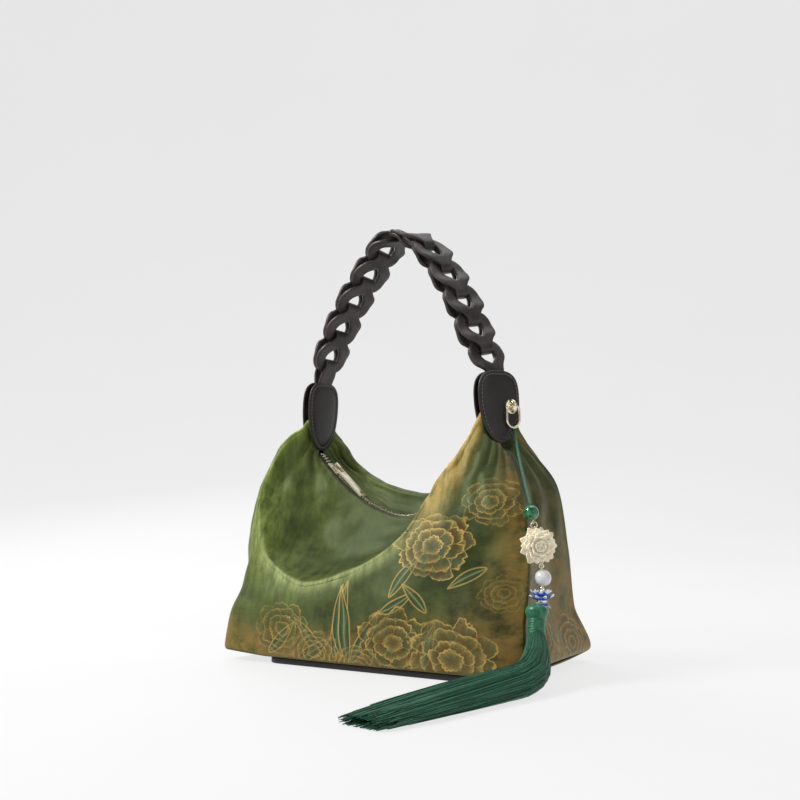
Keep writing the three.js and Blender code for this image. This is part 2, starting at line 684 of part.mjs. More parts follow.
// Silk panels and gussets, cut back to clear the leaves and the tapes
const besideTape = (facing) => zipBand(
  0, zipLength, facing * (toothHalf + gap + tapeHalf), tapeHalf + gap, tapeThick + 2 * gap,
);
const silkPieces = [
  { name: 'front_panel', grid: panelGrid(front, panelSteps), side: 1,
    neighbours: [...roundTabs, besideTape(-1)] },
  { name: 'back_panel', grid: panelGrid(back, panelSteps), side: -1,
    neighbours: [...roundTabs, besideTape(1)] },
  { name: 'left_gusset', grid: gussetGrid(-1), side: -1, neighbours: roundTabs },
  { name: 'right_gusset', grid: gussetGrid(1), side: 1, neighbours: roundTabs },
];
for (const { name, grid, side, neighbours } of silkPieces) {
  addMesh(name, trim(sheetSolid(grid, wall, side, onSeat), neighbours), materials.silk);
}

// Slider and pull, modelled lying along X and laid on the zip as one group

const slider = new THREE.Group();
const sliderTangent = zipCurve.getTangentAt(sliderPlace / zipLength);
const sliderSlope = Math.atan2(-sliderTangent.z, sliderTangent.x);
slider.position.copy(zipCurve.getPointAt(sliderPlace / zipLength));
slider.rotation.y = sliderSlope;
bag.add(slider);

function box(x0, x1, y0, y1, z0, z1) {
  return new THREE.BoxGeometry(x1 - x0, y1 - y0, z1 - z0)
    .translate((x0 + x1) / 2, (y0 + y1) / 2, (z0 + z1) / 2);
}

const plateLow = toothThick / 2 + gap;
const plateHigh = plateLow + plateThick;
const pullReach = Math.hypot(pullBar / 2, pullThick / 2);
const hingeHeight = plateHigh + gap + pullReach;
const bridgeHalf = 1.4;
const bridgeLeg = 1.3;
const bridgeInner = pullReach + gap;
const bridgeTop = hingeHeight + pullReach + gap;
const halfSlider = sliderLength / 2;
const halfSliderWidth = sliderWidth / 2;
const postAt = postPlace - sliderPlace;
addMesh('zip_slider', fuse([
  box(-halfSlider, halfSlider, -halfSliderWidth, halfSliderWidth, plateLow, plateHigh),
  box(-halfSlider, halfSlider, -halfSliderWidth, halfSliderWidth, -plateHigh, -plateLow),
  box(postAt - postHalf, postAt + postHalf, -postHalf, postHalf, -plateHigh, plateHigh),
  box(-bridgeInner - bridgeLeg, -bridgeInner, -bridgeHalf, bridgeHalf, plateLow, bridgeTop),
  box(bridgeInner, bridgeInner + bridgeLeg, -bridgeHalf, bridgeHalf, plateLow, bridgeTop),
  box(-bridgeInner - bridgeLeg, bridgeInner + bridgeLeg, -bridgeHalf, bridgeHalf,
    bridgeTop - 0.1, bridgeTop + 1),
]), materials.gold, slider);

// The pull turns on its top bar, held under the slider's bridge, and rests on the teeth further along.
const hinge = new THREE.Group();
hinge.position.set(0, 0, hingeHeight);
slider.add(hinge);
slider.updateMatrixWorld(true);
const restSlope = (() => {
  const slopes = [];
  for (let s = 8; s < pullLength; s += 1) {
    const p = slider.worldToLocal(onZip(sliderPlace + s, 0, toothThick / 2));
    slopes.push(Math.atan2(p.z + gap + pullThick / 2 - hingeHeight, p.x));
  }
  return Math.max(...slopes);
})();
hinge.rotation.y = -restSlope;

function windowedPlate() {
  const half = pullWidth / 2;
  const shape = new THREE.Shape();
  const cutCorner = 1.2;
  shape.moveTo(-pullBar / 2, -half + cutCorner);
  shape.lineTo(-pullBar / 2 + cutCorner, -half);
  shape.lineTo(pullLength - cutCorner, -half);
  shape.lineTo(pullLength, -half + cutCorner);
  shape.lineTo(pullLength, half - cutCorner);
  shape.lineTo(pullLength - cutCorner, half);
  shape.lineTo(-pullBar / 2 + cutCorner, half);
  shape.lineTo(-pullBar / 2, half - cutCorner);
  const window = (x0, x1, y) => {
    const path = new THREE.Path();
    path.moveTo(x0, -y);
    path.lineTo(x0, y);
    path.lineTo(x1, y);
    path.lineTo(x1, -y);
    return path;
  };
  shape.holes.push(window(pullBar / 2, pullBar / 2 + bridgeInner + bridgeLeg + 4, half - pullBar));
  shape.holes.push(window(pullLength - pullBar - 4, pullLength - pullBar, half - pullBar - 0.6));
  return new THREE.ExtrudeGeometry(shape, { depth: pullThick, bevelEnabled: false })
    .translate(0, 0, -pullThick / 2);
}

addMesh('zip_pull', windowedPlate(), materials.gold, hinge);

// Ring fixture on the right tab: a bridge on a round plate holds the ring that the charm hangs from

const fixtureAcross = 10;
const fixtureUp = 0.5;
const fixtureRadius = 6;
const fixturePlate = 1.2;
const bridgeRadius = ringWire / 2 + bridgeWire / 2 + ringWire / 2 + 2 * gap + 0.3;
const leafFace = tuckRadius + gap + leafThick + leafCrown;

// A wire bent round a closed path in the plane of two directions
function closedWire(path, planeNormal, wire, sides) {
  const steps = path.length;
  const points = [];
  const triangles = [];
  path.forEach((p, i) => {
    const tangent = path[(i + 1) % steps].clone().sub(path[(i + steps - 1) % steps]).normalize();
    const side = tangent.clone().cross(planeNormal);
    for (let j = 0; j < sides; j += 1) {
      const angle = (2 * Math.PI * j) / sides;
      points.push(p.clone().addScaledVector(side, Math.cos(angle) * wire / 2)
        .addScaledVector(planeNormal, Math.sin(angle) * wire / 2));
      const a = i * sides + j;
      const b = i * sides + ((j + 1) % sides);
      const c = ((i + 1) % steps) * sides + ((j + 1) % sides);
      const d = ((i + 1) % steps) * sides + j;
      triangles.push(a, c, b, a, d, c);
    }
  });
  return geometryOf(points, triangles);
}

const tabMatrix = new THREE.Matrix4();
tabMatrix.makeBasis(tabs.right.across, tabs.right.up, tabs.right.across.clone().cross(tabs.right.up));
const fixture = new THREE.Group();
fixture.applyMatrix4(tabMatrix);
fixture.position.copy(onTab(tabs.right, fixtureAcross, fixtureUp, leafFace + gap));
bag.add(fixture);
fixture.updateMatrixWorld(true);

const archRings = Array.from({ length: 9 }, (_, i) => {
  const angle = (Math.PI * i) / 8;
  const out = V(0, Math.cos(angle), Math.sin(angle));
  return Array.from({ length: 8 }, (__, j) => {
    const turn = (2 * Math.PI * j) / 8;
    return out.clone().multiplyScalar(bridgeRadius + Math.cos(turn) * bridgeWire / 2)
      .add(V(Math.sin(turn) * bridgeWire / 2, 0, fixturePlate - 0.2));
  });
});
addMesh('ring_mount', fuse([
  new THREE.CylinderGeometry(fixtureRadius, fixtureRadius, fixturePlate, 16).rotateX(Math.PI / 2)
    .translate(0, 0, fixturePlate / 2),
  loftSolid(archRings),
]), materials.gold, fixture);

const ringPlane = V(0, 0, 1);
const ringPath = (() => {
  const half = (ringWidth - ringWire) / 2;
  const drop = ringHeight - ringWire - half;
  const corner = 3;
  const points = [V(0, 0, 0), V(half - corner, 0, 0), V(half - 0.9, -0.9, 0), V(half, -corner, 0)];
  points.push(V(half, -drop / 2, 0));
  for (let i = 0; i <= 6; i += 1) {
    const angle = (Math.PI * i) / 6;
    points.push(V(half * Math.cos(angle), -drop - half * Math.sin(angle), 0));
  }
  points.push(V(-half, -drop / 2, 0), V(-half, -corner, 0), V(-half + 0.9, -0.9, 0), V(-half + corner, 0, 0));
  return points;
})();
const ringSeat = fixturePlate + gap + ringWire / 2;
const ringTilt = Math.atan2(fixturePlate - gap, ringHeight);
const ringMesh = addMesh('charm_ring', closedWire(ringPath, ringPlane, ringWire, 6), materials.gold, fixture);
ringMesh.position.set(0, 0, ringSeat);
ringMesh.rotation.x = ringTilt;

// Charm: a doubled cord from the ring, then beads joined by small rings, down to the tassel.
// The cord's points and the pieces' places are chosen one by one.
const charmOut = baseWidth / 2;  // the charm hangs beside the base's front corner
const cordTop = V(98.6, 5.2, 191.9);
const cordBelow = V(99.2, 4.9, 189.1);
const cordFoot = V(charmOut - 2.1, -38.9, 131.7);
const cordBow = V(-0.8, 0.6, -1.2);
const cordSteps = 13;
const cordRoute = [cordTop, ...Array.from({ length: cordSteps + 1 }, (_, i) => {
  const share = i / cordSteps;
  return cordBelow.clone().lerp(cordFoot, share).addScaledVector(cordBow, 4 * share * (1 - share));
})];
const cordSection = new THREE.Shape(Array.from({ length: 8 }, (_, i) => {
  const angle = (2 * Math.PI * (i + 0.5)) / 8;
  return new THREE.Vector2(Math.cos(angle), Math.sin(angle)).multiplyScalar(cordDiameter / 2);
}));
addMesh('charm_cord', new THREE.ExtrudeGeometry(cordSection, {
  steps: 12,
  bevelEnabled: false,
  extrudePath: new THREE.CatmullRomCurve3(cordRoute),
}), materials.cord);

const beadPlace = V(charmOut - 0.5, -42.1, 126.2);
const flowerPlace = V(charmOut + 5.8, -42.2, 101.4);
const pearlPlace = V(charmOut + 7.2, -38.5, 77.2);
const capPlace = V(charmOut + 8.4, -44.5, 62.6);
const headPlace = V(charmOut + 9, -55, 53);
const eyeRadius = 1.3;
const eyeWire = 0.8;

function eye(centre) {
  return new THREE.TorusGeometry(eyeRadius, eyeWire / 2, 5, 8)
    .rotateY(Math.PI / 2).translate(centre.x, centre.y, centre.z);
}

// An eye's centre, on the line from its piece towards the next one
const towards = (place, other, edge) => {
  const line = other.clone().sub(place).normalize();
  return place.clone().addScaledVector(line, edge + eyeRadius * 0.7);
};
const flowerEdge = flowerRadius * 0.907;
const threaded = [              // pieces that hang in a row, and how far their edges are from their middles
  { place: beadPlace, edge: beadRadius },
  { place: flowerPlace, edge: flowerEdge },
  { place: pearlPlace, edge: pearlRadius },
  { place: capPlace, edge: capHeight / 2 },
];
const eyePlaces = threaded.slice(1).map((lower, i) => ({
  name: `charm_loop_${i + 1}`,
  upper: towards(threaded[i].place, lower.place, threaded[i].edge),
  lower: towards(lower.place, threaded[i].place, lower.edge),
}));
for (const { name, upper, lower } of eyePlaces) {
  const middle = upper.clone().lerp(lower, 0.5);
  const ring = new THREE.TorusGeometry(upper.distanceTo(lower) / 2 - 0.25, loopWire / 2, 5, 10);
  const down = lower.clone().sub(upper).normalize();
  ring.applyQuaternion(new THREE.Quaternion().setFromUnitVectors(V(0, -1, 0), down));
  addMesh(name, ring.translate(middle.x, middle.y, middle.z), materials.gold);
}
const [beadLoop, flowerLoop, pearlLoop] = eyePlaces;

const ball = (centre, radius) => new THREE.SphereGeometry(radius, 12, 8)
  .translate(centre.x, centre.y, centre.z);
addMesh('green_bead', fuse([ball(beadPlace, beadRadius), eye(beadLoop.upper)]), materials.glass);
const pearlParts = [ball(pearlPlace, pearlRadius), eye(flowerLoop.lower), eye(pearlLoop.upper)];
addMesh('pearl_bead', fuse(pearlParts), materials.pearl);

// Carved flower: tiers of petals, each tier a ring of scallops, facing out of the side of the bag.
const flowerTiers = [           // radius and depth as shares, with how deep the scallops cut
  { radius: 0.62, depth: -0.50, cut: 0.05 },
  { radius: 0.98, depth: -0.16, cut: 0.10 },
  { radius: 0.90, depth: 0.08, cut: 0.12 },
  { radius: 0.68, depth: 0.26, cut: 0.14 },
  { radius: 0.40, depth: 0.42, cut: 0.16 },
  { radius: 0.16, depth: 0.50, cut: 0.10 },
];
const petalCount = 9;
const flowerTurnDeg = 42;
const flowerOut = V(Math.cos(rad(flowerTurnDeg)), -Math.sin(rad(flowerTurnDeg)), 0);
const flowerAcross = V(Math.sin(rad(flowerTurnDeg)), Math.cos(rad(flowerTurnDeg)), 0);
const flowerMatrix = new THREE.Matrix4()
  .makeBasis(flowerAcross, V(0, 0, 1), flowerOut).setPosition(flowerPlace);
const flowerSides = Array.from({ length: petalCount * 2 }, (_, j) => j);
const flowerRings = flowerTiers.map(({ radius, depth, cut }, tier) => flowerSides.map((j) => {
  const angle = (Math.PI * (j + tier)) / petalCount;
  const reach = flowerRadius * radius * (j % 2 ? 1 - cut : 1);
  return V(reach * Math.cos(angle), reach * Math.sin(angle), depth * flowerDepth);
}));
const flowerBody = loftSolid(flowerRings).applyMatrix4(flowerMatrix);
addMesh('carved_flower', fuse([flowerBody, eye(beadLoop.lower), eye(flowerLoop.upper)]), materials.resin);

// Enamel cap: an open crown of pointed petals over the tassel's head
const capTiers = [
  { radius: 0.34, height: -0.50, cut: 0 },
  { radius: 0.72, height: -0.28, cut: 0.12 },
  { radius: 1.00, height: 0.16, cut: 0.34 },
  { radius: 0.62, height: 0.26, cut: 0.20 },
  { radius: 0.22, height: 0.50, cut: 0 },
];
const capPetals = 8;
const capRings = capTiers.map(({ radius, height, cut }) => Array.from({ length: capPetals * 2 }, (_, j) => {
  const angle = (Math.PI * j) / capPetals;
  const reach = capRadius * radius * (j % 2 ? 1 - cut : 1);
  return V(reach * Math.cos(angle), reach * Math.sin(angle), height * capHeight).add(capPlace);
}));
addMesh('petal_cap', fuse([loftSolid(capRings), eye(pearlLoop.lower)]), materials.enamel);

// Tassel: a bound head and neck, and locks of thread that fall to the floor and run forward.
// Stations down the skirt: its middle, half its width and half its height there.
const tasselLine = [
  { x: charmOut + 9.5, y: -58, z: 37, half: 6.2, thick: 6.2 },
  { x: charmOut + 12.5, y: -64, z: 29, half: 8.5, thick: 8.5 },
  { x: charmOut + 15.5, y: -73, z: 19.5, half: 11, thick: 10 },
  { x: charmOut + 15.5, y: -84, z: 12, half: 14.5, thick: 10.5 },
  { x: charmOut + 9, y: -98, z: 8.4, half: 21, thick: 10.5 },
  { x: charmOut - 1.5, y: -125, z: 6.6, half: 25, thick: 9.6 },
  { x: charmOut - 11, y: -160, z: 5.4, half: 26, thick: 7.8 },
  { x: charmOut - 20, y: -200, z: 4.2, half: 24, thick: 6 },
  { x: charmOut - 28, y: -243, z: 3, half: 19, thick: 4.2 },
];
const lockCount = 7;
const lockSides = 6;
const floorGap = 0.2;

function lockGeometry(index) {
  const place = (2 * index) / (lockCount - 1) - 1;
  const rings = tasselLine.map((station, i) => {
    const before = tasselLine[Math.max(i - 1, 0)];
    const after = tasselLine[Math.min(i + 1, tasselLine.length - 1)];
    const along = V(after.x - before.x, after.y - before.y, after.z - before.z).normalize();
    const sideways = V(-along.y, along.x, 0).normalize();
    const up = along.clone().cross(sideways).multiplyScalar(-1);
    const lockHalf = (station.half / lockCount) * 1.75;
    const lockThick = station.thick * (0.98 - 0.32 * place * place);
    const centre = V(station.x, station.y, station.z)
      .addScaledVector(sideways, place * (station.half - lockHalf));
    return Array.from({ length: lockSides }, (_, j) => {
      const angle = (2 * Math.PI * (j + 0.5)) / lockSides;
      const p = centre.clone().addScaledVector(sideways, Math.cos(angle) * lockHalf);
      p.addScaledVector(up, Math.sin(angle) * lockThick);
      p.z = Math.max(p.z, floorGap);
      return p;
    });
  });
  return loftSolid(rings.reverse());
}

const headProfile = [           // radius and height as shares of the head's radius, from its top down
  { radius: 0.30, height: 0.70 },
  { radius: 0.78, height: 0.60 },
  { radius: 1.00, height: 0.20 },
  { radius: 0.98, height: -0.20 },
  { radius: neckRadius / headRadius, height: -0.55 },
];
const neckTop = headPlace.clone();
const neckEnd = V(tasselLine[0].x, tasselLine[0].y, tasselLine[0].z - 2);
const neckTilt = new THREE.Quaternion()
  .setFromUnitVectors(V(0, 0, -1), neckEnd.clone().sub(neckTop).normalize());
const roundRing = (radius, height) => Array.from({ length: 12 }, (_, j) => {
  const angle = (2 * Math.PI * j) / 12;
  return V(radius * Math.cos(angle), radius * Math.sin(angle), height).applyQuaternion(neckTilt).add(neckTop);
});
const headRings = headProfile.map(({ radius, height }) => roundRing(radius * headRadius, height * headRadius));
headRings.push(roundRing(neckRadius, -neckLength));
addMesh('tassel', fuse([
  loftSolid(headRings.reverse()),
  ...Array.from({ length: lockCount }, (_, i) => lockGeometry(i)),
]), materials.thread);

export default bag;
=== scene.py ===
import math

import bmesh
import bpy
import numpy as np
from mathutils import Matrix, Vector, noise


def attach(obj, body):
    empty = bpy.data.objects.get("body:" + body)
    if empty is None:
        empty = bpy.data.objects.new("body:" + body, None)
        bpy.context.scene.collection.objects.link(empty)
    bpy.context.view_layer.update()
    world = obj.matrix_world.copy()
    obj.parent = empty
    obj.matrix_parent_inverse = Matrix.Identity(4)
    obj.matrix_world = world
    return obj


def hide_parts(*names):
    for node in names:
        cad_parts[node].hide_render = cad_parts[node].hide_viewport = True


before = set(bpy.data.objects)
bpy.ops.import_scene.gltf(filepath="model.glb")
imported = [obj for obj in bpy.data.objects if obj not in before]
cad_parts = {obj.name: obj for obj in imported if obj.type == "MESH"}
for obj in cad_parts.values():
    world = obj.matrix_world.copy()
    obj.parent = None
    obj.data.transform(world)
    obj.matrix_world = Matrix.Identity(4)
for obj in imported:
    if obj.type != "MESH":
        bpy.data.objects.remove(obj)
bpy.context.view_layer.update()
scene = bpy.context.scene
mm = 0.001
rng = np.random.RandomState(7)

# Sizes in millimetres, as in the part
base = {"halfWidth": 134.0, "halfDepth": 73.5, "boardThick": 5.0, "boardHalf": 93.0, "lift": 2.4,
        "wall": 1.5, "gap": 0.3}
tabSize = {"width": 42.0, "height": 61.0, "top": 238.7, "rightLift": 2.0, "lean": 3.0, "leaf": 1.8,
           "crown": 1.4, "tuck": 1.9, "cover": 5.0, "leftSpan": 87.8, "rightSpan": 84.3,
           "leftTurn": 4.0, "rightTurn": 27.0}
zipSize = {"sag": 58.0, "mouth": 6.0, "tooth": 3.5, "pitch": 2.6, "thick": 2.4, "tape": 1.0}
handle = {"rise": 126.0, "links": 10, "half": 18.0, "waist": 6.5, "hole": 7.8, "leather": 2.6,
          "layerGap": 0.4, "tip": 8.0, "ease": 0.3, "endLeather": 1.8, "ringLeather": 3.6,
          "ringReach": 22.4, "strapReach": 17.0, "tuck": 14.0}


# Camera
def makeCamera():
    data = bpy.data.cameras.new("camera")
    data.lens = 49.5
    data.sensor_width = 36
    camera = bpy.data.objects.new("camera", data)
    camera.location = (0.4706, -0.8184, 0.149)
    camera.rotation_euler = (math.radians(94.3), 0, math.radians(30.23))
    scene.collection.objects.link(camera)
    scene.camera = camera


makeCamera()


def meshObject(name, points, faces, smooth=True):
    mesh = bpy.data.meshes.new(name)
    mesh.from_pydata([tuple(p) for p in points], [], faces)
    mesh.update()
    obj = bpy.data.objects.new(name, mesh)
    scene.collection.objects.link(obj)
    if smooth:
        for polygon in mesh.polygons:
            polygon.use_smooth = True
    return obj


def addNode(tree, kind, settings=None, values=None):
    made = tree.nodes.new(kind)
    for key, value in (settings or {}).items():
        setattr(made, key, value)
    for key, value in (values or {}).items():
        if isinstance(value, bpy.types.NodeSocket):
            tree.links.new(value, made.inputs[key])
        else:
            made.inputs[key].default_value = value
    return made


def calc(tree, operation, a, b=None, c=None):
    values = {k: v for k, v in enumerate((a, b, c)) if v is not None}
    return addNode(tree, "ShaderNodeMath", {"operation": operation}, values).outputs[0]


def blendOf(tree, factor, a, b, mode="MIX"):
    made = addNode(tree, "ShaderNodeMix", {"data_type": "RGBA", "blend_type": mode},
                   {0: factor, 6: a, 7: b})
    return made.outputs[2]


def rangeOf(tree, value, low, high, toLow=0.0, toHigh=1.0):
    made = addNode(tree, "ShaderNodeMapRange", {"interpolation_type": "SMOOTHSTEP"},
                   {0: value, 1: low, 2: high, 3: toLow, 4: toHigh})
    return made.outputs[0]


def noiseOf(tree, vector, scale, detail=3.0, roughness=0.55):
    return addNode(tree, "ShaderNodeTexNoise", None,
                   {"Vector": vector, "Scale": scale, "Detail": detail, "Roughness": roughness}).outputs[0]


def shaderGroup(name, inputs, outputs, build):
    tree = bpy.data.node_groups.new(name, "ShaderNodeTree")
    for label, kind, value in inputs:
        socket = tree.interface.new_socket(label, in_out="INPUT", socket_type=kind)
        if value is not None:
            socket.default_value = value
    for label, kind in outputs:
        tree.interface.new_socket(label, in_out="OUTPUT", socket_type=kind)
    source = tree.nodes.new("NodeGroupInput")
    target = tree.nodes.new("NodeGroupOutput")
    for label, socket in build(tree, source.outputs).items():
        tree.links.new(socket, target.inputs[label])
    return tree


def useGroup(tree, group, values):
    made = tree.nodes.new("ShaderNodeGroup")
    made.node_tree = group
    for key, value in values.items():
        if isinstance(value, bpy.types.NodeSocket):
            tree.links.new(value, made.inputs[key])
        else:
            made.inputs[key].default_value = value
    return made.outputs


def material(name):
    made = bpy.data.materials.new(name)
    made.use_nodes = True
    return made, made.node_tree, made.node_tree.nodes["Principled BSDF"]


def hexColour(code):
    parts = [int(code[i:i + 2], 16) / 255 for i in (0, 2, 4)]
    return tuple(p / 12.92 if p <= 0.04045 else ((p + 0.055) / 1.055) ** 2.4 for p in parts) + (1.0,)


def surfaceCoords(tree):
    return addNode(tree, "ShaderNodeTexCoord").outputs["Object"]


def uvCoords(tree, name):
    return addNode(tree, "ShaderNodeUVMap", {"uv_map": name}).outputs[0]


def bump(tree, shader, height, strength, distance):
    made = addNode(tree, "ShaderNodeBump", None,
                   {"Height": height, "Strength": strength, "Distance": distance})
    tree.links.new(made.outputs[0], shader.inputs["Normal"])


# Shared effects
floatIn, colourIn, vectorIn = "NodeSocketFloat", "NodeSocketColor", "NodeSocketVector"


def buildBlossom(tree, source):
    away = addNode(tree, "ShaderNodeVectorMath", {"operation": "SUBTRACT"},
                   {0: source["Vector"], 1: source["Centre"]}).outputs[0]
    parts = addNode(tree, "ShaderNodeSeparateXYZ", None, {0: away}).outputs
    squash = calc(tree, "MULTIPLY", parts[1], 1.22)
    reach = calc(tree, "SQRT", calc(tree, "ADD", calc(tree, "MULTIPLY", parts[0], parts[0]),
                                    calc(tree, "MULTIPLY", squash, squash)))
    shift = calc(tree, "MULTIPLY", calc(tree, "SUBTRACT", noiseOf(tree, source["Vector"], 6.0, 3.0), 0.5),
                 0.75)
    r = calc(tree, "MULTIPLY", calc(tree, "DIVIDE", reach, source["Radius"]), calc(tree, "ADD", 1.0, shift))
    angle = calc(tree, "ADD", calc(tree, "ARCTAN2", squash, parts[0]), source["Turn"])
    lines = None
    mask = None
    inner = 0.0
    for count, share, phase in ((5, 0.26, 0.3), (7, 0.50, 1.1), (8, 0.76, 0.2), (9, 1.0, 0.9)):
        wave = calc(tree, "ABSOLUTE", calc(tree, "COSINE",
                                           calc(tree, "MULTIPLY_ADD", angle, count / 2, phase)))
        ruffle = calc(tree, "ABSOLUTE", calc(tree, "COSINE", calc(tree, "MULTIPLY", angle, count * 1.5)))
        scallop = calc(tree, "POWER", wave, 0.55)
        edge = calc(tree, "MULTIPLY_ADD", scallop, 0.22 * share, 0.78 * share)
        edge = calc(tree, "MULTIPLY_ADD", ruffle, 0.035, edge)
        offset = calc(tree, "SUBTRACT", r, edge)
        rim = rangeOf(tree, calc(tree, "ABSOLUTE", offset), 0.008, 0.030, 1.0, 0.0)
        rib = rangeOf(tree, wave, 0.03, 0.10, 0.6, 0.0)
        between = calc(tree, "MULTIPLY", calc(tree, "GREATER_THAN", r, inner),
                       calc(tree, "LESS_THAN", offset, 0.0))
        rim = calc(tree, "MAXIMUM", rim, calc(tree, "MULTIPLY", rib, between))
        lines = rim if lines is None else calc(tree, "MAXIMUM", lines, rim)
        mask = rangeOf(tree, offset, -0.02, 0.02, 1.0, 0.0)
        inner = share * 0.95
    tone = calc(tree, "FRACT", calc(tree, "MULTIPLY", r, 3.9))
    streak = noiseOf(tree, addNode(tree, "ShaderNodeCombineXYZ", None,
                                   {0: calc(tree, "MULTIPLY", angle, 6.0), 1: r}).outputs[0], 3.0, 2.0)
    tone = calc(tree, "MULTIPLY_ADD", calc(tree, "SUBTRACT", streak, 0.5), 0.9, tone)
    return {"Mask": mask, "Line": lines, "Tone": tone}


blossom = shaderGroup("blossom", [("Vector", vectorIn, None), ("Centre", vectorIn, None),
                                  ("Radius", floatIn, 0.3),
                                  ("Turn", floatIn, 0.0)],
                      [("Mask", floatIn), ("Line", floatIn), ("Tone", floatIn)], buildBlossom)


def buildLeaf(tree, source):
    away = addNode(tree, "ShaderNodeVectorMath", {"operation": "SUBTRACT"},
                   {0: source["Vector"], 1: source["Root"]}).outputs[0]
    turned = addNode(tree, "ShaderNodeVectorRotate", {"rotation_type": "Z_AXIS"},
                     {"Vector": away, "Angle": calc(tree, "MULTIPLY", source["Turn"], -1.0)}).outputs[0]
    parts = addNode(tree, "ShaderNodeSeparateXYZ", None, {0: turned}).outputs
    s = calc(tree, "DIVIDE", parts[0], source["Length"])
    bow = calc(tree, "MULTIPLY", calc(tree, "MULTIPLY", s, s),
               calc(tree, "MULTIPLY", source["Bend"], source["Length"]))
    across = calc(tree, "ABSOLUTE", calc(tree, "SUBTRACT", parts[1], bow))
    span = calc(tree, "MULTIPLY", calc(tree, "GREATER_THAN", s, 0.0), calc(tree, "LESS_THAN", s, 1.0))
    shape = calc(tree, "SINE", calc(tree, "MULTIPLY",
                                    calc(tree, "POWER", calc(tree, "MAXIMUM", s, 0.0), 0.8), math.pi))
    half = calc(tree, "MULTIPLY", shape, source["Half"])
    inside = calc(tree, "SUBTRACT", half, across)
    mask = calc(tree, "MULTIPLY", rangeOf(tree, inside, -0.002, 0.004), span)
    edge = rangeOf(tree, calc(tree, "ABSOLUTE", inside), 0.003, 0.009, 1.0, 0.0)
    vein = rangeOf(tree, across, 0.002, 0.006, 0.7, 0.0)
    line = calc(tree, "MULTIPLY", calc(tree, "MAXIMUM", edge, calc(tree, "MULTIPLY", vein, mask)), span)
    tone = rangeOf(tree, calc(tree, "DIVIDE", across, calc(tree, "MAXIMUM", half, 0.001)), 0.0, 1.0)
    return {"Mask": mask, "Line": line, "Tone": tone}


leafGroup = shaderGroup("leaf", [("Vector", vectorIn, None), ("Root", vectorIn, None),
                                 ("Length", floatIn, 0.5),
                                 ("Half", floatIn, 0.05), ("Turn", floatIn, 0.0), ("Bend", floatIn, 0.0)],
                        [("Mask", floatIn), ("Line", floatIn), ("Tone", floatIn)], buildLeaf)


def buildGrain(tree, source):
    cells = addNode(tree, "ShaderNodeTexVoronoi", {"feature": "DISTANCE_TO_EDGE"},
                    {"Vector": source["Vector"], "Scale": source["Scale"]}).outputs["Distance"]
    pebble = rangeOf(tree, cells, 0.0, 0.12)
    fine = noiseOf(tree, source["Vector"], calc(tree, "MULTIPLY", source["Scale"], 2.5), 4.0)
    broad = noiseOf(tree, source["Vector"], calc(tree, "MULTIPLY", source["Scale"], 0.06), 3.0)
    return {"Height": calc(tree, "MULTIPLY_ADD", fine, 0.5, pebble), "Broad": broad, "Fine": fine}


grainGroup = shaderGroup("grain", [("Vector", vectorIn, None), ("Scale", floatIn, 900.0)],
                         [("Height", floatIn), ("Broad", floatIn), ("Fine", floatIn)], buildGrain)


def buildWeave(tree, source):
    parts = addNode(tree, "ShaderNodeSeparateXYZ", None, {0: source["Vector"]}).outputs
    warp = calc(tree, "SINE", calc(tree, "MULTIPLY", parts[0], source["Count"]))
    weft = calc(tree, "SINE", calc(tree, "MULTIPLY", parts[1], source["Count"]))
    threads = calc(tree, "MULTIPLY_ADD", calc(tree, "MULTIPLY", warp, weft), 0.5, 0.5)
    slub = addNode(tree, "ShaderNodeVectorMath", {"operation": "MULTIPLY"},
                   {0: source["Vector"], 1: (14.0, 120.0, 1.0)}).outputs[0]
    return {"Threads": threads, "Slub": noiseOf(tree, slub, 1.0, 3.0)}


weaveGroup = shaderGroup("weave", [("Vector", vectorIn, None), ("Count", floatIn, 700.0)],
                         [("Threads", floatIn), ("Slub", floatIn)], buildWeave)


# Materials. Prints are laid out in decimetres: across and up the panel.
# The green tone and the ridge tone serve only as painted highlight; gold serves the print's lines and also a painted
# highlight along the fold.
silkTones = {"dark": hexColour("1a2411"), "olive": hexColour("454f29"), "green": hexColour("8a9c48"),
             "ridgeHighlight": hexColour("b3bb78"),
             "ochre": hexColour("8f6c34"), "gold": hexColour("c9a457"), "petal": hexColour("7d6730"),
             "petalLight": hexColour("b39a57"), "leafDark": hexColour("12261c"),
             "leafLight": hexColour("3c5c40"),
             "rust": hexColour("57331b")}


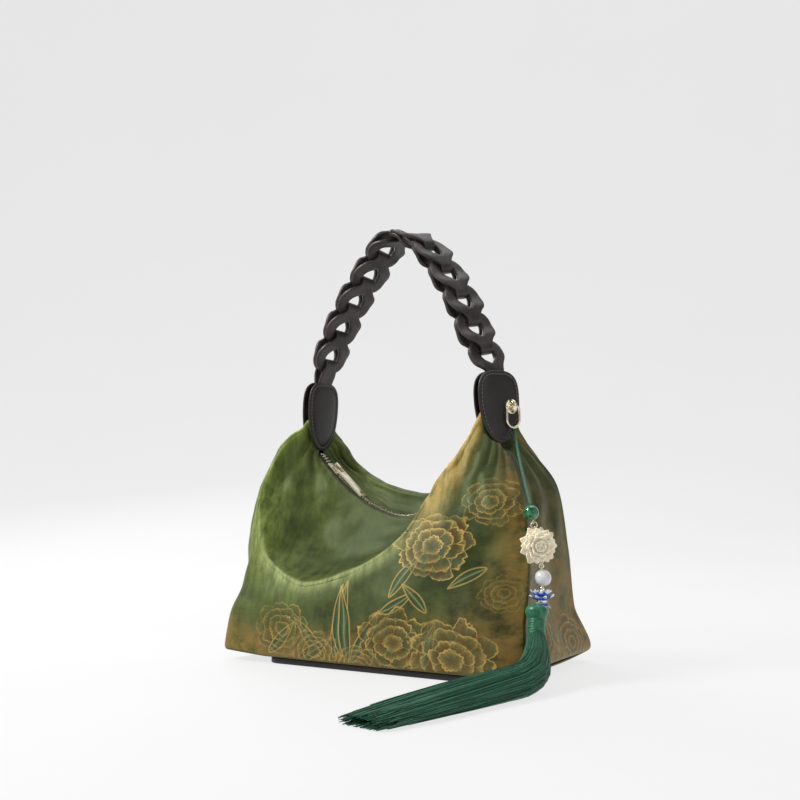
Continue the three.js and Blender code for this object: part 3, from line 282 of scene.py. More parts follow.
def silkMaterial(name, blossoms, leaves, paintedLightLeft, ochreLow, ochreReach, paintedFoldHighlights):
    made, tree, shader = material(name)
    place = uvCoords(tree, "cloth")
    shares = addNode(tree, "ShaderNodeSeparateXYZ", None, {0: uvCoords(tree, "shares")}).outputs
    wash = noiseOf(tree, place, 1.6, 4.0, 0.6)
    mottled = noiseOf(tree, place, 6.5, 9.0, 0.72)
    brushed = noiseOf(tree, addNode(tree, "ShaderNodeVectorMath", {"operation": "MULTIPLY"},
                                    {0: place, 1: (5.0, 1.2, 1.0)}).outputs[0], 4.0, 9.0, 0.70)
    amount = calc(tree, "MULTIPLY_ADD", mottled, 0.35, wash)
    colour = blendOf(tree, rangeOf(tree, amount, 0.46, 0.88), silkTones["dark"], silkTones["olive"])
    # Painted highlight: a brighter green sheen laid over the left part of the panel, in a band across the fold,
    # broken up by brushed noise.
    left = rangeOf(tree, shares[0], 0.16, 0.60, paintedLightLeft, 0.03)
    ridgeHighlight = calc(tree, "MULTIPLY", rangeOf(tree, shares[1], 0.30, 0.50, 0.35, 1.0),
                 rangeOf(tree, shares[1], 0.60, 0.78, 1.0, 0.30))
    left = calc(tree, "MULTIPLY", left, ridgeHighlight)
    paintedLeftSheen = calc(tree, "MULTIPLY", left, rangeOf(tree, brushed, 0.25, 0.75))
    colour = blendOf(tree, paintedLeftSheen, colour, silkTones["green"])
    low = calc(tree, "MULTIPLY", rangeOf(tree, shares[1], 0.02, ochreReach, ochreLow, 0.0),
               rangeOf(tree, mottled, 0.3, 0.62))
    colour = blendOf(tree, low, colour, silkTones["ochre"])
    painted = rangeOf(tree, mottled, 0.32, 0.62, 0.45, 1.0)
    drawn = rangeOf(tree, noiseOf(tree, place, 4.3, 3.0), 0.38, 0.60, 0.25, 1.0)
    shine = 0.0
    for x, y, length, half, turn, bend in leaves:
        found = useGroup(tree, leafGroup,
                         {"Vector": place, "Root": (x, y, 0), "Length": length, "Half": half,
                                           "Turn": math.radians(turn), "Bend": bend})
        tint = blendOf(tree, found["Tone"], silkTones["leafLight"], silkTones["leafDark"])
        colour = blendOf(tree, calc(tree, "MULTIPLY", found["Mask"], 0.85), colour, tint)
        colour = blendOf(tree, calc(tree, "MULTIPLY", found["Line"], 0.55), colour, silkTones["gold"])
    for x, y, radius, turn, strength in blossoms:
        found = useGroup(tree, blossom, {"Vector": place, "Centre": (x, y, 0), "Radius": radius,
                                         "Turn": turn})
        tint = blendOf(tree, rangeOf(tree, found["Tone"], 0.1, 1.0), silkTones["rust"], silkTones["petal"])
        tint = blendOf(tree, rangeOf(tree, found["Tone"], 0.55, 1.2), tint, silkTones["petalLight"])
        tint = blendOf(tree, rangeOf(tree, brushed, 0.40, 0.70), tint, silkTones["leafLight"])
        colour = blendOf(tree, calc(tree, "MULTIPLY", calc(tree, "MULTIPLY", found["Mask"], painted),
                                    0.9 * strength), colour, tint)
        line = calc(tree, "MULTIPLY", calc(tree, "MULTIPLY", found["Line"], drawn), 0.85 * strength)
        colour = blendOf(tree, line, colour, silkTones["gold"])
        shine = calc(tree, "MAXIMUM", line, shine)
    # Painted highlights along the fold: a pale sheen on the fold's crown left of the middle, and a gold sheen on the
    # crown to the right.
    if paintedFoldHighlights:
        paintedCrownHighlight = calc(tree, "MULTIPLY", rangeOf(tree, shares[1], 0.44, 0.53),
                      rangeOf(tree, shares[1], 0.56, 0.66, 1.0, 0.0))
        paintedCrownHighlight = calc(tree, "MULTIPLY", paintedCrownHighlight, rangeOf(tree, shares[0], 0.20, 0.34))
        paintedCrownHighlight = calc(tree, "MULTIPLY", paintedCrownHighlight, rangeOf(tree, shares[0], 0.56, 0.66, 1.0, 0.0))
        colour = blendOf(tree, calc(tree, "MULTIPLY", paintedCrownHighlight, rangeOf(tree, brushed, 0.3, 0.7, 0.1, 0.6)),
                         colour, silkTones["ridgeHighlight"])
        # Painted highlight: gold sheen on the fold crown on the right of the panel, broken up by brushed noise.
        rim = calc(tree, "MULTIPLY", rangeOf(tree, shares[1], 0.40, 0.52),
                   rangeOf(tree, shares[1], 0.60, 0.68, 1.0, 0.0))
        rim = calc(tree, "MULTIPLY", rim, rangeOf(tree, shares[0], 0.60, 0.72))
        rim = calc(tree, "MULTIPLY", rim, rangeOf(tree, brushed, 0.3, 0.62, 0.15, 0.75))
        colour = blendOf(tree, rim, colour, silkTones["gold"])
    woven = useGroup(tree, weaveGroup, {"Vector": place})
    colour = blendOf(tree, 0.35, colour, woven["Slub"], "SOFT_LIGHT")
    tree.links.new(colour, shader.inputs["Base Color"])
    tree.links.new(calc(tree, "SUBTRACT", rangeOf(tree, mottled, 0.2, 0.8, 0.34, 0.50),
                        calc(tree, "MULTIPLY", shine, 0.12)),
                   shader.inputs["Roughness"])
    shader.inputs["Sheen Weight"].default_value = 0.12
    shader.inputs["Sheen Roughness"].default_value = 0.3
    shader.inputs["Sheen Tint"].default_value = (0.72, 0.85, 0.4, 1)
    shader.inputs["Specular IOR Level"].default_value = 0.4
    shader.inputs["Specular Tint"].default_value = (0.8, 0.95, 0.55, 1)
    crumple = noiseOf(tree, place, 9.0, 3.0)
    relief = calc(tree, "MULTIPLY_ADD", crumple, 5.0,
                  calc(tree, "MULTIPLY_ADD", woven["Slub"], 0.6, woven["Threads"]))
    bump(tree, shader, relief, 0.25, 0.0005)
    return made


# across, up, radius, turn, strength
frontBlossoms = [(-0.72, 0.30, 0.26, 0.2, 0.5), (-0.40, 0.14, 0.22, 1.3, 0.6), (0.34, 0.26, 0.30, 0.5, 0.9),
                 (0.84, 0.16, 0.36, 2.1, 0.9), (0.62, 1.00, 0.31, 1.0, 1.0), (1.00, 1.34, 0.22, 0.2, 0.6),
                 (1.18, 0.66, 0.16, 0.1, 0.35), (0.02, 0.06, 0.20, 2.4, 0.7)]
# across and up at the root, length, half width, turn and bend
frontLeaves = [(-0.22, 0.10, 0.62, 0.060, 72, 0.12), (-0.14, 0.12, 0.56, 0.055, 96, -0.10),
               (-0.06, 0.08, 0.50, 0.05, 48, 0.15),
               (-0.10, 0.06, 0.60, 0.055, 84, 0.20), (-0.30, 0.08, 0.44, 0.05, 128, 0.10),
               (-0.58, 0.06, 0.40, 0.045, 24, 0.1),
               (-0.86, 0.10, 0.36, 0.045, 40, 0.1), (0.56, 0.06, 0.40, 0.045, 64, 0.1),
               (0.30, 0.60, 0.42, 0.045, 62, -0.15),
               (1.04, 0.84, 0.30, 0.04, 205, 0.1), (0.22, 0.48, 0.34, 0.04, 20, 0.2),
               (0.62, 0.50, 0.30, 0.04, 130, 0.1)]
backBlossoms = [(-0.70, 0.36, 0.36, 0.7, 0.9), (0.10, 0.26, 0.30, 1.9, 0.85), (0.75, 0.55, 0.32, 0.3, 0.8),
                (-0.15, 1.02, 0.24, 1.2, 0.6), (-0.98, 1.00, 0.20, 2.0, 0.5)]
backLeaves = [(-0.30, 0.12, 0.55, 0.055, 70, 0.1), (-0.22, 0.14, 0.44, 0.05, 108, -0.1),
              (0.44, 0.14, 0.5, 0.05, 60, 0.1),
              (0.30, 0.75, 0.36, 0.045, 100, 0.1), (-0.95, 0.62, 0.34, 0.045, 40, 0.1)]
sideBlossoms = [(-0.25, 0.34, 0.26, 0.6, 0.7), (0.36, 0.20, 0.24, 1.7, 0.8), (0.10, 0.82, 0.16, 0.2, 0.35)]
sideLeaves = [(0.02, 0.16, 0.42, 0.05, 80, 0.1), (0.06, 0.18, 0.34, 0.045, 116, -0.1),
              (-0.5, 0.5, 0.3, 0.04, 60, 0.1)]

# The fourth value sets the strength of the painted highlight on the left; the last turns on the painted highlights
# along the fold.
silk = {"front": silkMaterial("silk_front", frontBlossoms, frontLeaves, 1.0, 0.75, 0.30, True),
        "back": silkMaterial("silk_back", backBlossoms, backLeaves, 0.6, 0.6, 0.30, False),
        "left": silkMaterial("silk_left", sideBlossoms, sideLeaves, 0.6, 0.4, 0.40, False),
        "right": silkMaterial("silk_right", sideBlossoms, sideLeaves, 0.0, 1.0, 0.95, False)}


def leatherMaterial(name, colour, roughness, scale):
    made, tree, shader = material(name)
    place = surfaceCoords(tree)
    grain = useGroup(tree, grainGroup, {"Vector": place, "Scale": scale})
    # Painted highlight: sharp edges, found from pointiness, are lightened toward a pale brown.
    highlightPointiness = addNode(tree, "ShaderNodeNewGeometry").outputs["Pointiness"]
    edge = rangeOf(tree, highlightPointiness, 0.52, 0.62, 0.0, 0.35)
    shade = blendOf(tree, rangeOf(tree, grain["Broad"], 0.35, 0.7), hexColour(colour), hexColour("151312"))
    shade = blendOf(tree, edge, shade, hexColour("6a5a4e"))
    tree.links.new(shade, shader.inputs["Base Color"])
    tree.links.new(rangeOf(tree, grain["Fine"], 0.3, 0.7, roughness - 0.06, roughness + 0.1),
                   shader.inputs["Roughness"])
    shader.inputs["Specular IOR Level"].default_value = 0.5
    bump(tree, shader, grain["Height"], 0.22, 0.0003)
    return made


leather = leatherMaterial("leather", "231e1b", 0.36, 900.0)
# Painted light: the links use a lighter copy of the leather, standing in for the light from above on the handle.
litLinkLeather = leatherMaterial("link_leather", "3b3431", 0.38, 900.0)
leatherEdge = leatherMaterial("leather_edge", "1a1513", 0.48, 1500.0)


def metalMaterial(name, colour, roughness):
    made, tree, shader = material(name)
    place = surfaceCoords(tree)
    smudge = noiseOf(tree, place, 180.0, 3.0)
    tree.links.new(blendOf(tree, rangeOf(tree, smudge, 0.4, 0.8, 0.0, 0.25), hexColour(colour),
                           hexColour("a8946a")),
                   shader.inputs["Base Color"])
    tree.links.new(rangeOf(tree, smudge, 0.3, 0.7, roughness - 0.04, roughness + 0.06),
                   shader.inputs["Roughness"])
    shader.inputs["Metallic"].default_value = 1.0
    bump(tree, shader, noiseOf(tree, place, 1400.0, 2.0), 0.05, 0.0001)
    return made


gold = metalMaterial("pale_gold", "f6ecd2", 0.18)
toothMetal = metalMaterial("tooth_metal", "fbf3df", 0.24)


def threadMaterial(name, dark, light, scale, sheen):
    made, tree, shader = material(name)
    place = uvCoords(tree, "cloth")
    tone = noiseOf(tree, place, scale, 3.0)
    tree.links.new(blendOf(tree, rangeOf(tree, tone, 0.3, 0.7), hexColour(dark), hexColour(light)),
                   shader.inputs["Base Color"])
    tree.links.new(rangeOf(tree, tone, 0.2, 0.8, 0.3, 0.5), shader.inputs["Roughness"])
    shader.inputs["Sheen Weight"].default_value = sheen
    shader.inputs["Sheen Roughness"].default_value = 0.3
    shader.inputs["Sheen Tint"].default_value = (0.5, 0.9, 0.7, 1)
    return made


strandThread = threadMaterial("strand_thread", "0e3826", "22694a", 60.0, 0.3)
boundThread = threadMaterial("bound_thread", "145038", "2b7d59", 9.0, 0.35)
cordThread = threadMaterial("cord_thread", "12402c", "2b6b4c", 30.0, 0.3)
stitchThread = threadMaterial("stitch_thread", "5a5048", "7a6e62", 30.0, 0.1)


def tapeMaterial():
    made, tree, shader = material("zip_tape")
    place = uvCoords(tree, "cloth")
    woven = useGroup(tree, weaveGroup, {"Vector": place, "Count": 900.0})
    tree.links.new(blendOf(tree, woven["Threads"], hexColour("23281a"), hexColour("3c4427")),
                   shader.inputs["Base Color"])
    shader.inputs["Roughness"].default_value = 0.8
    bump(tree, shader, woven["Threads"], 0.3, 0.0004)
    return made


def jadeMaterial():
    made, tree, shader = material("green_glass")
    cloud = noiseOf(tree, surfaceCoords(tree), 260.0, 4.0)
    tree.links.new(blendOf(tree, rangeOf(tree, cloud, 0.35, 0.7), hexColour("0b4426"), hexColour("2c8a52")),
                   shader.inputs["Base Color"])
    shader.inputs["Roughness"].default_value = 0.06
    shader.inputs["Coat Weight"].default_value = 0.6
    shader.inputs["Subsurface Weight"].default_value = 0.1
    shader.inputs["Subsurface Scale"].default_value = 0.004
    return made


def resinMaterial():
    made, tree, shader = material("carved_ivory")
    place = surfaceCoords(tree)
    hollow = rangeOf(tree, addNode(tree, "ShaderNodeNewGeometry").outputs["Pointiness"], 0.38, 0.49)
    tree.links.new(blendOf(tree, hollow, hexColour("d8bd92"), hexColour("fff4de")),
                   shader.inputs["Base Color"])
    tree.links.new(rangeOf(tree, noiseOf(tree, place, 300.0), 0.3, 0.7, 0.38, 0.5),
                   shader.inputs["Roughness"])
    shader.inputs["Subsurface Weight"].default_value = 0.15
    shader.inputs["Subsurface Scale"].default_value = 0.004
    bump(tree, shader, noiseOf(tree, place, 900.0, 2.0), 0.08, 0.0003)
    return made


def pearlMaterial():
    made, tree, shader = material("pearl")
    swirl = noiseOf(tree, surfaceCoords(tree), 150.0, 4.0)
    tree.links.new(blendOf(tree, rangeOf(tree, swirl, 0.35, 0.65), hexColour("e9e4dd"),
                           hexColour("cfd6dc")),
                   shader.inputs["Base Color"])
    shader.inputs["Roughness"].default_value = 0.16
    shader.inputs["Coat Weight"].default_value = 0.7
    shader.inputs["Sheen Weight"].default_value = 0.4
    return made


def enamelMaterial():
    made, tree, shader = material("enamel")
    along = addNode(tree, "ShaderNodeSeparateXYZ", None, {0: uvCoords(tree, "cloth")}).outputs
    ripple = noiseOf(tree, surfaceCoords(tree), 500.0, 2.0)
    depth = calc(tree, "MULTIPLY_ADD", calc(tree, "SUBTRACT", ripple, 0.5), 0.3, along[1])
    blue = blendOf(tree, rangeOf(tree, depth, 0.30, 0.48), hexColour("f4f7fb"), hexColour("1c4fb4"))
    tree.links.new(blendOf(tree, rangeOf(tree, depth, 0.66, 0.90), blue, hexColour("dfe9f6")),
                   shader.inputs["Base Color"])
    shader.inputs["Roughness"].default_value = 0.14
    shader.inputs["Coat Weight"].default_value = 0.5
    return made


tapeCloth = tapeMaterial()
greenGlass = jadeMaterial()
ivory = resinMaterial()
pearl = pearlMaterial()
enamel = enamelMaterial()
print("stage: materials")


# Curves, as the part makes them
def catmull(points, t, tension=0.4):
    count = len(points)
    p = (count - 1) * min(max(t, 0.0), 1.0)
    i = min(int(p), count - 2)
    w = p - i
    before = points[i - 1] if i > 0 else 2 * points[0] - points[1]
    after = points[i + 2] if i + 2 < count else 2 * points[-1] - points[-2]
    a, b = points[i], points[i + 1]
    ta, tb = tension * (b - before), tension * (after - a)
    return a + ta * w + (3 * (b - a) - 2 * ta - tb) * w * w + (2 * (a - b) + ta + tb) * w ** 3


def centripetal(points, steps):
    out = []
    for i in range(len(points) - 1):
        a, b = points[i], points[i + 1]
        before = points[i - 1] if i > 0 else 2 * points[0] - points[1]
        after = points[i + 2] if i + 2 < len(points) else 2 * points[-1] - points[-2]
        d0, d1, d2 = (max(np.linalg.norm(q - p) ** 0.5, 1e-4) for p, q in ((before, a), (a, b), (b, after)))
        ta = ((a - before) / d0 - (b - before) / (d0 + d1) + (b - a) / d1) * d1
        tb = ((b - a) / d1 - (after - a) / (d1 + d2) + (after - b) / d2) * d1
        for w in np.arange(steps) / steps:
            out.append(a + ta * w + (3 * (b - a) - 2 * ta - tb) * w * w + (2 * (a - b) + ta + tb) * w ** 3)
    out.append(points[-1])
    return np.array(out)


class Path:
    def __init__(self, points):
        self.points = np.array(points)
        steps = np.linalg.norm(np.diff(self.points, axis=0), axis=1)
        self.reach = np.concatenate([[0], np.cumsum(steps)])
        self.length = self.reach[-1]

    def at(self, s):
        s = min(max(s, 0.0), self.length)
        return np.array([np.interp(s, self.reach, self.points[:, k]) for k in range(3)])

    def tangent(self, s):
        step = 0.4
        way = self.at(s + step) - self.at(s - step)
        return way / np.linalg.norm(way)


def unit(v):
    return v / np.linalg.norm(v)


def smooth(x, low, high):
    w = np.clip((x - low) / (high - low), 0, 1)
    return w * w * (3 - 2 * w)


def tabFrame(side):
    name = "right" if side > 0 else "left"
    turn, lean = math.radians(tabSize[name + "Turn"]), math.radians(tabSize["lean"])
    up = np.array([-side * math.sin(lean), 0, math.cos(lean)])
    out = unit(np.cross([math.sin(turn), math.cos(turn), 0], up)) * side
    across = np.cross(up, out) * side
    top = tabSize["top"] + (tabSize["rightLift"] if side > 0 else 0)
    middle = np.array([side * tabSize[name + "Span"], 0, top]) - up * tabSize["height"] / 2
    return {"up": up, "out": out, "across": across, "middle": middle}


tabs = {"left": tabFrame(-1), "right": tabFrame(1)}


def onTab(tab, w, u, n):
    return tab["middle"] + tab["across"] * w + tab["up"] * u + tab["out"] * n


tipHeight = tabSize["top"] - tabSize["height"]
tipHalf = tabSize["leftSpan"] + tabSize["height"] * math.sin(math.radians(tabSize["lean"]))


def zipLine(x):
    return np.array([x, 0, tipHeight - zipSize["sag"] * (1 - abs(x / tipHalf) ** 1.8)])


def seatHeight(x, y):
    reach = min(max((abs(x) - base["boardHalf"]) / (base["halfWidth"] - base["boardHalf"]), 0), 1)
    return base["boardThick"] + base["wall"] + 2 * base["gap"] + base["lift"] * reach * (y / base["halfDepth"]) ** 2


# Sections: seam and fold places as shares of the base's halves and the tab tips' height, zip as a share
# of the zip's half span, then radius, belly and hollow in millimetres
frontSections = [
    (-0.866, -0.300, 0.843, -0.828, -0.435, 1.005, -0.93, 4, 2, 1),
    (-0.945, -0.571, 0.534, -0.870, -0.653, 0.815, -0.84, 7, 3, 4),
    (-0.945, -0.762, 0.253, -0.825, -0.789, 0.640, -0.70, 8, 4, 9),
    (-1.000, -1.000, 0.000, -0.740, -0.890, 0.488, -0.54, 7, 4, 12),
    (-0.560, -1.034, 0.000, -0.440, -0.966, 0.372, -0.34, 6, 5, 13),
    (0.000, -1.050, 0.000, -0.075, -0.980, 0.438, -0.06, 5, 6, 10),
    (0.522, -1.034, 0.000, 0.235, -0.898, 0.592, 0.22, 5, 6, 6),
    (1.000, -1.000, 0.000, 0.345, -0.776, 0.732, 0.42, 5, 5, 4),
    (0.993, -0.762, 0.253, 0.408, -0.653, 0.823, 0.56, 4, 5, 3),
    (0.978, -0.571, 0.534, 0.480, -0.530, 0.918, 0.72, 4, 4, 3),
    (0.851, -0.300, 0.843, 0.545, -0.395, 1.015, 0.88, 3, 2, 1)]
backSections = [
    (-0.851, 0.463, 0.843, -0.602, 0.310, 1.030, -0.90, 3, 3, 1),
    (-0.918, 0.653, 0.534, -0.493, 0.310, 0.940, -0.76, 4, 6, 2),
    (-0.948, 0.816, 0.253, -0.400, 0.313, 0.888, -0.60, 5, 9, 3),
    (-1.000, 1.000, 0.000, -0.310, 0.313, 0.848, -0.46, 5, 10, 3),
    (-0.530, 1.040, 0.000, -0.160, 0.300, 0.808, -0.24, 5, 11, 3),
    (0.000, 1.055, 0.000, 0.030, 0.286, 0.788, 0.01, 5, 12, 3),
    (0.530, 1.040, 0.000, 0.210, 0.300, 0.808, 0.28, 5, 11, 3),
    (1.000, 1.000, 0.000, 0.358, 0.313, 0.854, 0.48, 5, 10, 3),
    (0.948, 0.816, 0.253, 0.448, 0.313, 0.900, 0.62, 5, 9, 3),
    (0.945, 0.653, 0.534, 0.545, 0.313, 0.958, 0.77, 4, 6, 2),
    (0.905, 0.463, 0.843, 0.636, 0.310, 1.045, 0.90, 3, 3, 1)]
cornerShare = 4 / (len(frontSections) + 1)


def tuckedSection(tab, facing):
    drop = tabSize["height"] / 2 - tabSize["cover"]
    side = tabSize["width"] / 2 - tabSize["cover"]
    seam = onTab(tab, 1 if facing < 0 else side / 2, -drop if facing < 0 else -drop * 0.68, tabSize["tuck"])
    fold = onTab(tab, facing * side, -drop * 0.16, 0)
    mouth = onTab(tab, facing * (base["gap"] + 1.2), -drop, -tabSize["tuck"])
    return seam, fold, mouth, np.array([tabSize["tuck"], 0, 0])


def looseSection(row, facing):
    x, y = row[0] * base["halfWidth"], row[1] * base["halfDepth"]
    seam = np.array([x, y, max(row[2] * tipHeight, seatHeight(x, y))])
    fold = np.array([row[3] * base["halfWidth"], row[4] * base["halfDepth"], row[5] * tipHeight])
    mouth = zipLine(row[6] * tipHalf)
    mouth[1] = facing * zipSize["mouth"]
    return seam, fold, mouth, np.array(row[7:10], float)


def panelCurves(rows, facing):
    sections = [tuckedSection(tabs["left"], facing)] + [looseSection(row, facing) for row in rows]
    sections.append(tuckedSection(tabs["right"], facing))
    return {key: [s[k] for s in sections] for k, key in enumerate(("seam", "fold", "mouth", "shape"))}


curves = {"front": panelCurves(frontSections, -1), "back": panelCurves(backSections, 1)}


def seamPoint(panel, t):
    p = catmull(curves[panel]["seam"], t)
    p[2] = max(p[2], seatHeight(p[0], p[1]))
    return p


def slerp(a, b, w):
    angle = math.acos(min(max(float(a @ b), -1), 1))
    if angle < 1e-4:
        return a
    return (a * math.sin((1 - w) * angle) + b * math.sin(w * angle)) / math.sin(angle)


def sectionPoints(panel, t, outerSteps, foldSteps, innerSteps):
    seam = seamPoint(panel, t)
    fold, mouth, shape = (catmull(curves[panel][key], t) for key in ("fold", "mouth", "shape"))
    radius, belly, hollow = shape
    toSeam, toMouth = unit(seam - fold), unit(mouth - fold)
    crown = unit(-(toSeam + toMouth))
    seamSide = unit(-(toMouth - toSeam * (toMouth @ toSeam)))
    mouthSide = unit(-(toSeam - toMouth * (toMouth @ toSeam)))
    centre = fold - crown * radius
    start, end = centre + seamSide * radius, centre + mouthSide * radius
    points = []
    bow = (seam + start) / 2 + seamSide * 2 * belly
    for s in np.linspace(0, 1, outerSteps, endpoint=False):
        points.append(seam * (1 - s) ** 2 + bow * 2 * s * (1 - s) + start * s * s)
    for s in np.linspace(0, 2, foldSteps, endpoint=False):
        way = slerp(seamSide, crown, s) if s < 1 else slerp(crown, mouthSide, s - 1)
        points.append(centre + way * radius)
    bow = (end + mouth) / 2 - mouthSide * 2 * hollow
    for s in np.linspace(0, 1, innerSteps):
        points.append(end * (1 - s) ** 2 + bow * 2 * s * (1 - s) + mouth * s * s)
    return points


leafOutline = [(-1.00, 0.16), (-0.90, 0.42), (-0.68, 0.68), (-0.36, 0.88), (0.05, 0.99), (0.45, 1.00),
               (0.75, 0.92), (0.93, 0.68), (1.00, 0.40)]


def leafHalf(u):
    ups, halves = zip(*leafOutline)
    return np.interp(u, ups, halves, left=0.0, right=0.0) * tabSize["width"] / 2


def intoTabs(p):
    for tab in tabs.values():
        away = p - tab["middle"]
        w, u, n = away @ tab["across"], away @ tab["up"], away @ tab["out"]
        inside = min(leafHalf(u / (tabSize["height"] / 2)) - abs(w), u + tabSize["height"] / 2)
        if inside > -9 and u < tabSize["height"] / 2:
            held = smooth(inside, -9, -0.5) * (1 - smooth(abs(n), 9, 18))
            flat = min(max(n, -1.2), 1.2)
            p = onTab(tab, w, u, n + (flat - n) * held)
    return p


# Creases on a panel: from (t, v) to (t, v), height in millimetres and half width as a share
frontCreases = [(0.10, 0.86, 0.30, 0.72, -2.6, 0.035), (0.13, 0.92, 0.40, 0.80, 1.8, 0.03),
                (0.10, 0.80, 0.22, 0.62, 2.2, 0.03),
                (0.24, 0.90, 0.52, 0.88, -1.6, 0.025), (0.06, 0.62, 0.20, 0.40, 1.8, 0.03),
                (0.05, 0.50, 0.16, 0.20, -1.6, 0.03),
                (0.90, 0.55, 0.78, 0.40, 1.4, 0.022), (0.93, 0.45, 0.84, 0.22, -1.3, 0.022),
                (0.86, 0.66, 0.70, 0.56, -1.6, 0.02),
                (0.40, 0.10, 0.52, 0.42, 1.2, 0.04), (0.62, 0.08, 0.70, 0.40, -1.4, 0.04),
                (0.46, 0.84, 0.70, 0.80, 1.2, 0.02),
                (0.30, 0.05, 0.36, 0.30, -1.2, 0.03), (0.74, 0.60, 0.60, 0.50, 1.3, 0.03)]
backCreases = [(0.08, 0.80, 0.30, 0.60, 2.0, 0.03), (0.92, 0.80, 0.72, 0.62, 2.0, 0.03),
               (0.10, 0.60, 0.26, 0.30, -2.0, 0.03),
               (0.90, 0.60, 0.76, 0.28, -2.0, 0.03), (0.45, 0.20, 0.55, 0.60, 1.6, 0.04),
               (0.30, 0.55, 0.44, 0.20, -1.6, 0.035)]


def creaseHeight(creases, t, v):
    total = 0.0
    for t0, v0, t1, v1, height, width in creases:
        way = np.array([t1 - t0, (v1 - v0) * 0.7])
        away = np.array([t - t0, (v - v0) * 0.7])
        s = min(max((away @ way) / (way @ way), 0), 1)
        near = np.linalg.norm(away - way * s) / width
        total += height * math.exp(-near * near) * math.sin(math.pi * (0.08 + 0.84 * s)) ** 0.7
    return total


def clothUvs(obj, cloth, shares):
    for name, values in (("cloth", cloth), ("shares", shares)):
        layer = obj.data.uv_layers.new(name=name)
        for loop in obj.data.loops:
            layer.data[loop.index].uv = values[loop.vertex_index]


def gridFaces(rows, cols, flip=False):
    faces = []
    for i in range(rows - 1):
        for j in range(cols - 1):
            a = i * cols + j
            face = (a, a + cols, a + cols + 1, a + 1)
            faces.append(face[::-1] if flip else face)
    return faces


def reliefed(grid, height):
    rows, cols, _ = grid.shape
    along = np.gradient(grid, axis=0)
    across = np.gradient(grid, axis=1)
    normal = np.cross(across, along)
    normal /= np.linalg.norm(normal, axis=2, keepdims=True) + 1e-9
    return grid + normal * height[:, :, None]


def panelObject(name, panel, facing, creases, cloth):
    steps, outer, foldSteps, inner = 190, 62, 16, 44
    rows = [sectionPoints(panel, i / steps, outer, foldSteps, inner) for i in range(steps + 1)]
    grid = np.array(rows)
    count = grid.shape[1]
    v = np.linspace(0, 1, count)
    height = np.zeros(grid.shape[:2])
    for i in range(steps + 1):
        t = i / steps
        edge = math.sin(math.pi * min(t, 1 - t) / 0.16) if min(t, 1 - t) < 0.08 else 1.0
        for j in range(count):
            p = grid[i, j]
            hold = min(v[j] / 0.05, 1.0) * min((1 - v[j]) / 0.05, 1.0) * edge
            soft = noise.noise(Vector(p / 38.0)) * 2.6 + noise.noise(Vector(p / 15.0) + Vector((4, 1,
                                                                                                2))) * 0.8
            tip = min(np.linalg.norm(p - onTab(tab, 0, -tabSize["height"] / 2, 0)) for tab in tabs.values())
            gather = math.sin(v[j] * 64 + 3 * noise.noise(Vector(p / 20.0))) * 1.7 * math.exp(-tip / 30.0)
            height[i, j] = hold * (creaseHeight(creases, t, v[j]) + soft + gather)
    grid = reliefed(grid, height * (1 if facing < 0 else -1))
    for i in range(steps + 1):
        for j in range(count):
            p = intoTabs(grid[i, j])
            p[2] = max(p[2], seatHeight(p[0], p[1]) * 0.98)
            grid[i, j] = p
    crown = outer + foldSteps // 2
    inward = np.cumsum(np.linalg.norm(np.diff(grid[:, crown:], axis=1), axis=2), axis=1)
    lengths = grid[:, :, 2].copy()
    lengths[:, crown + 1:] = grid[:, crown:crown + 1, 2] + inward
    points = grid.reshape(-1, 3) * mm
    obj = meshObject(name, points, gridFaces(steps + 1, count, facing < 0))
    flat = [(p[0] / 100.0, s / 100.0) for p, s in zip(grid.reshape(-1, 3), lengths.reshape(-1))]
    shares = [(i / steps, v[j]) for i in range(steps + 1) for j in range(count)]
    clothUvs(obj, flat, shares)
    obj.data.materials.append(cloth)
    return obj


def thicken(obj, thick, offset):
    shell = obj.modifiers.new("wall", "SOLIDIFY")
    shell.thickness = thick * mm
    shell.offset = offset
    return obj


body = {"front": panelObject("front_silk", "front", -1, frontCreases, silk["front"]),
        "back": panelObject("back_silk", "back", 1, backCreases, silk["back"])}
print("stage: panels")


def gussetObject(name, side, cloth):
    rows, cols = 90, 60
    points, flat, shares = [], [], []
    grid = np.zeros((rows + 1, cols + 1, 3))
    height = np.zeros((rows + 1, cols + 1))
    for i in range(rows + 1):
        along = i / rows * cornerShare
        t = along if side < 0 else 1 - along
        a, b = seamPoint("front", t), seamPoint("back", t)
        for j in range(cols + 1):
            s = j / cols
            p = a + (b - a) * s
            p[0] -= side * 5 * math.sin(math.pi * s) * math.sin(math.pi * (i / rows) ** 1.6)
            grid[i, j] = p
            hold = math.sin(math.pi * s) ** 0.5 * min((rows - i) / 6, 1)
            crease = math.sin(s * 17 + 2 * noise.noise(Vector(p / 40.0))) * 1.3 * (1 - i / rows) ** 0.6
            height[i, j] = hold * (crease + noise.noise(Vector(p / 24.0)) * 1.2) * (1 if i > 2 else 0.3)
    grid = reliefed(grid, height * -side)
    for i in range(rows + 1):
        for j in range(cols + 1):
            p = intoTabs(grid[i, j])
            p[2] = max(p[2], seatHeight(p[0], p[1]) * 0.98)
            points.append(p * mm)
            flat.append((p[1] / 100.0, p[2] / 100.0))
            shares.append((0.4, 1 - i / rows))
    obj = meshObject(name, points, gridFaces(rows + 1, cols + 1, side > 0))
    clothUvs(obj, flat, shares)
    obj.data.materials.append(cloth)
    return obj


body["left"] = gussetObject("left_side_silk", -1, silk["left"])
body["right"] = gussetObject("right_side_silk", 1, silk["right"])


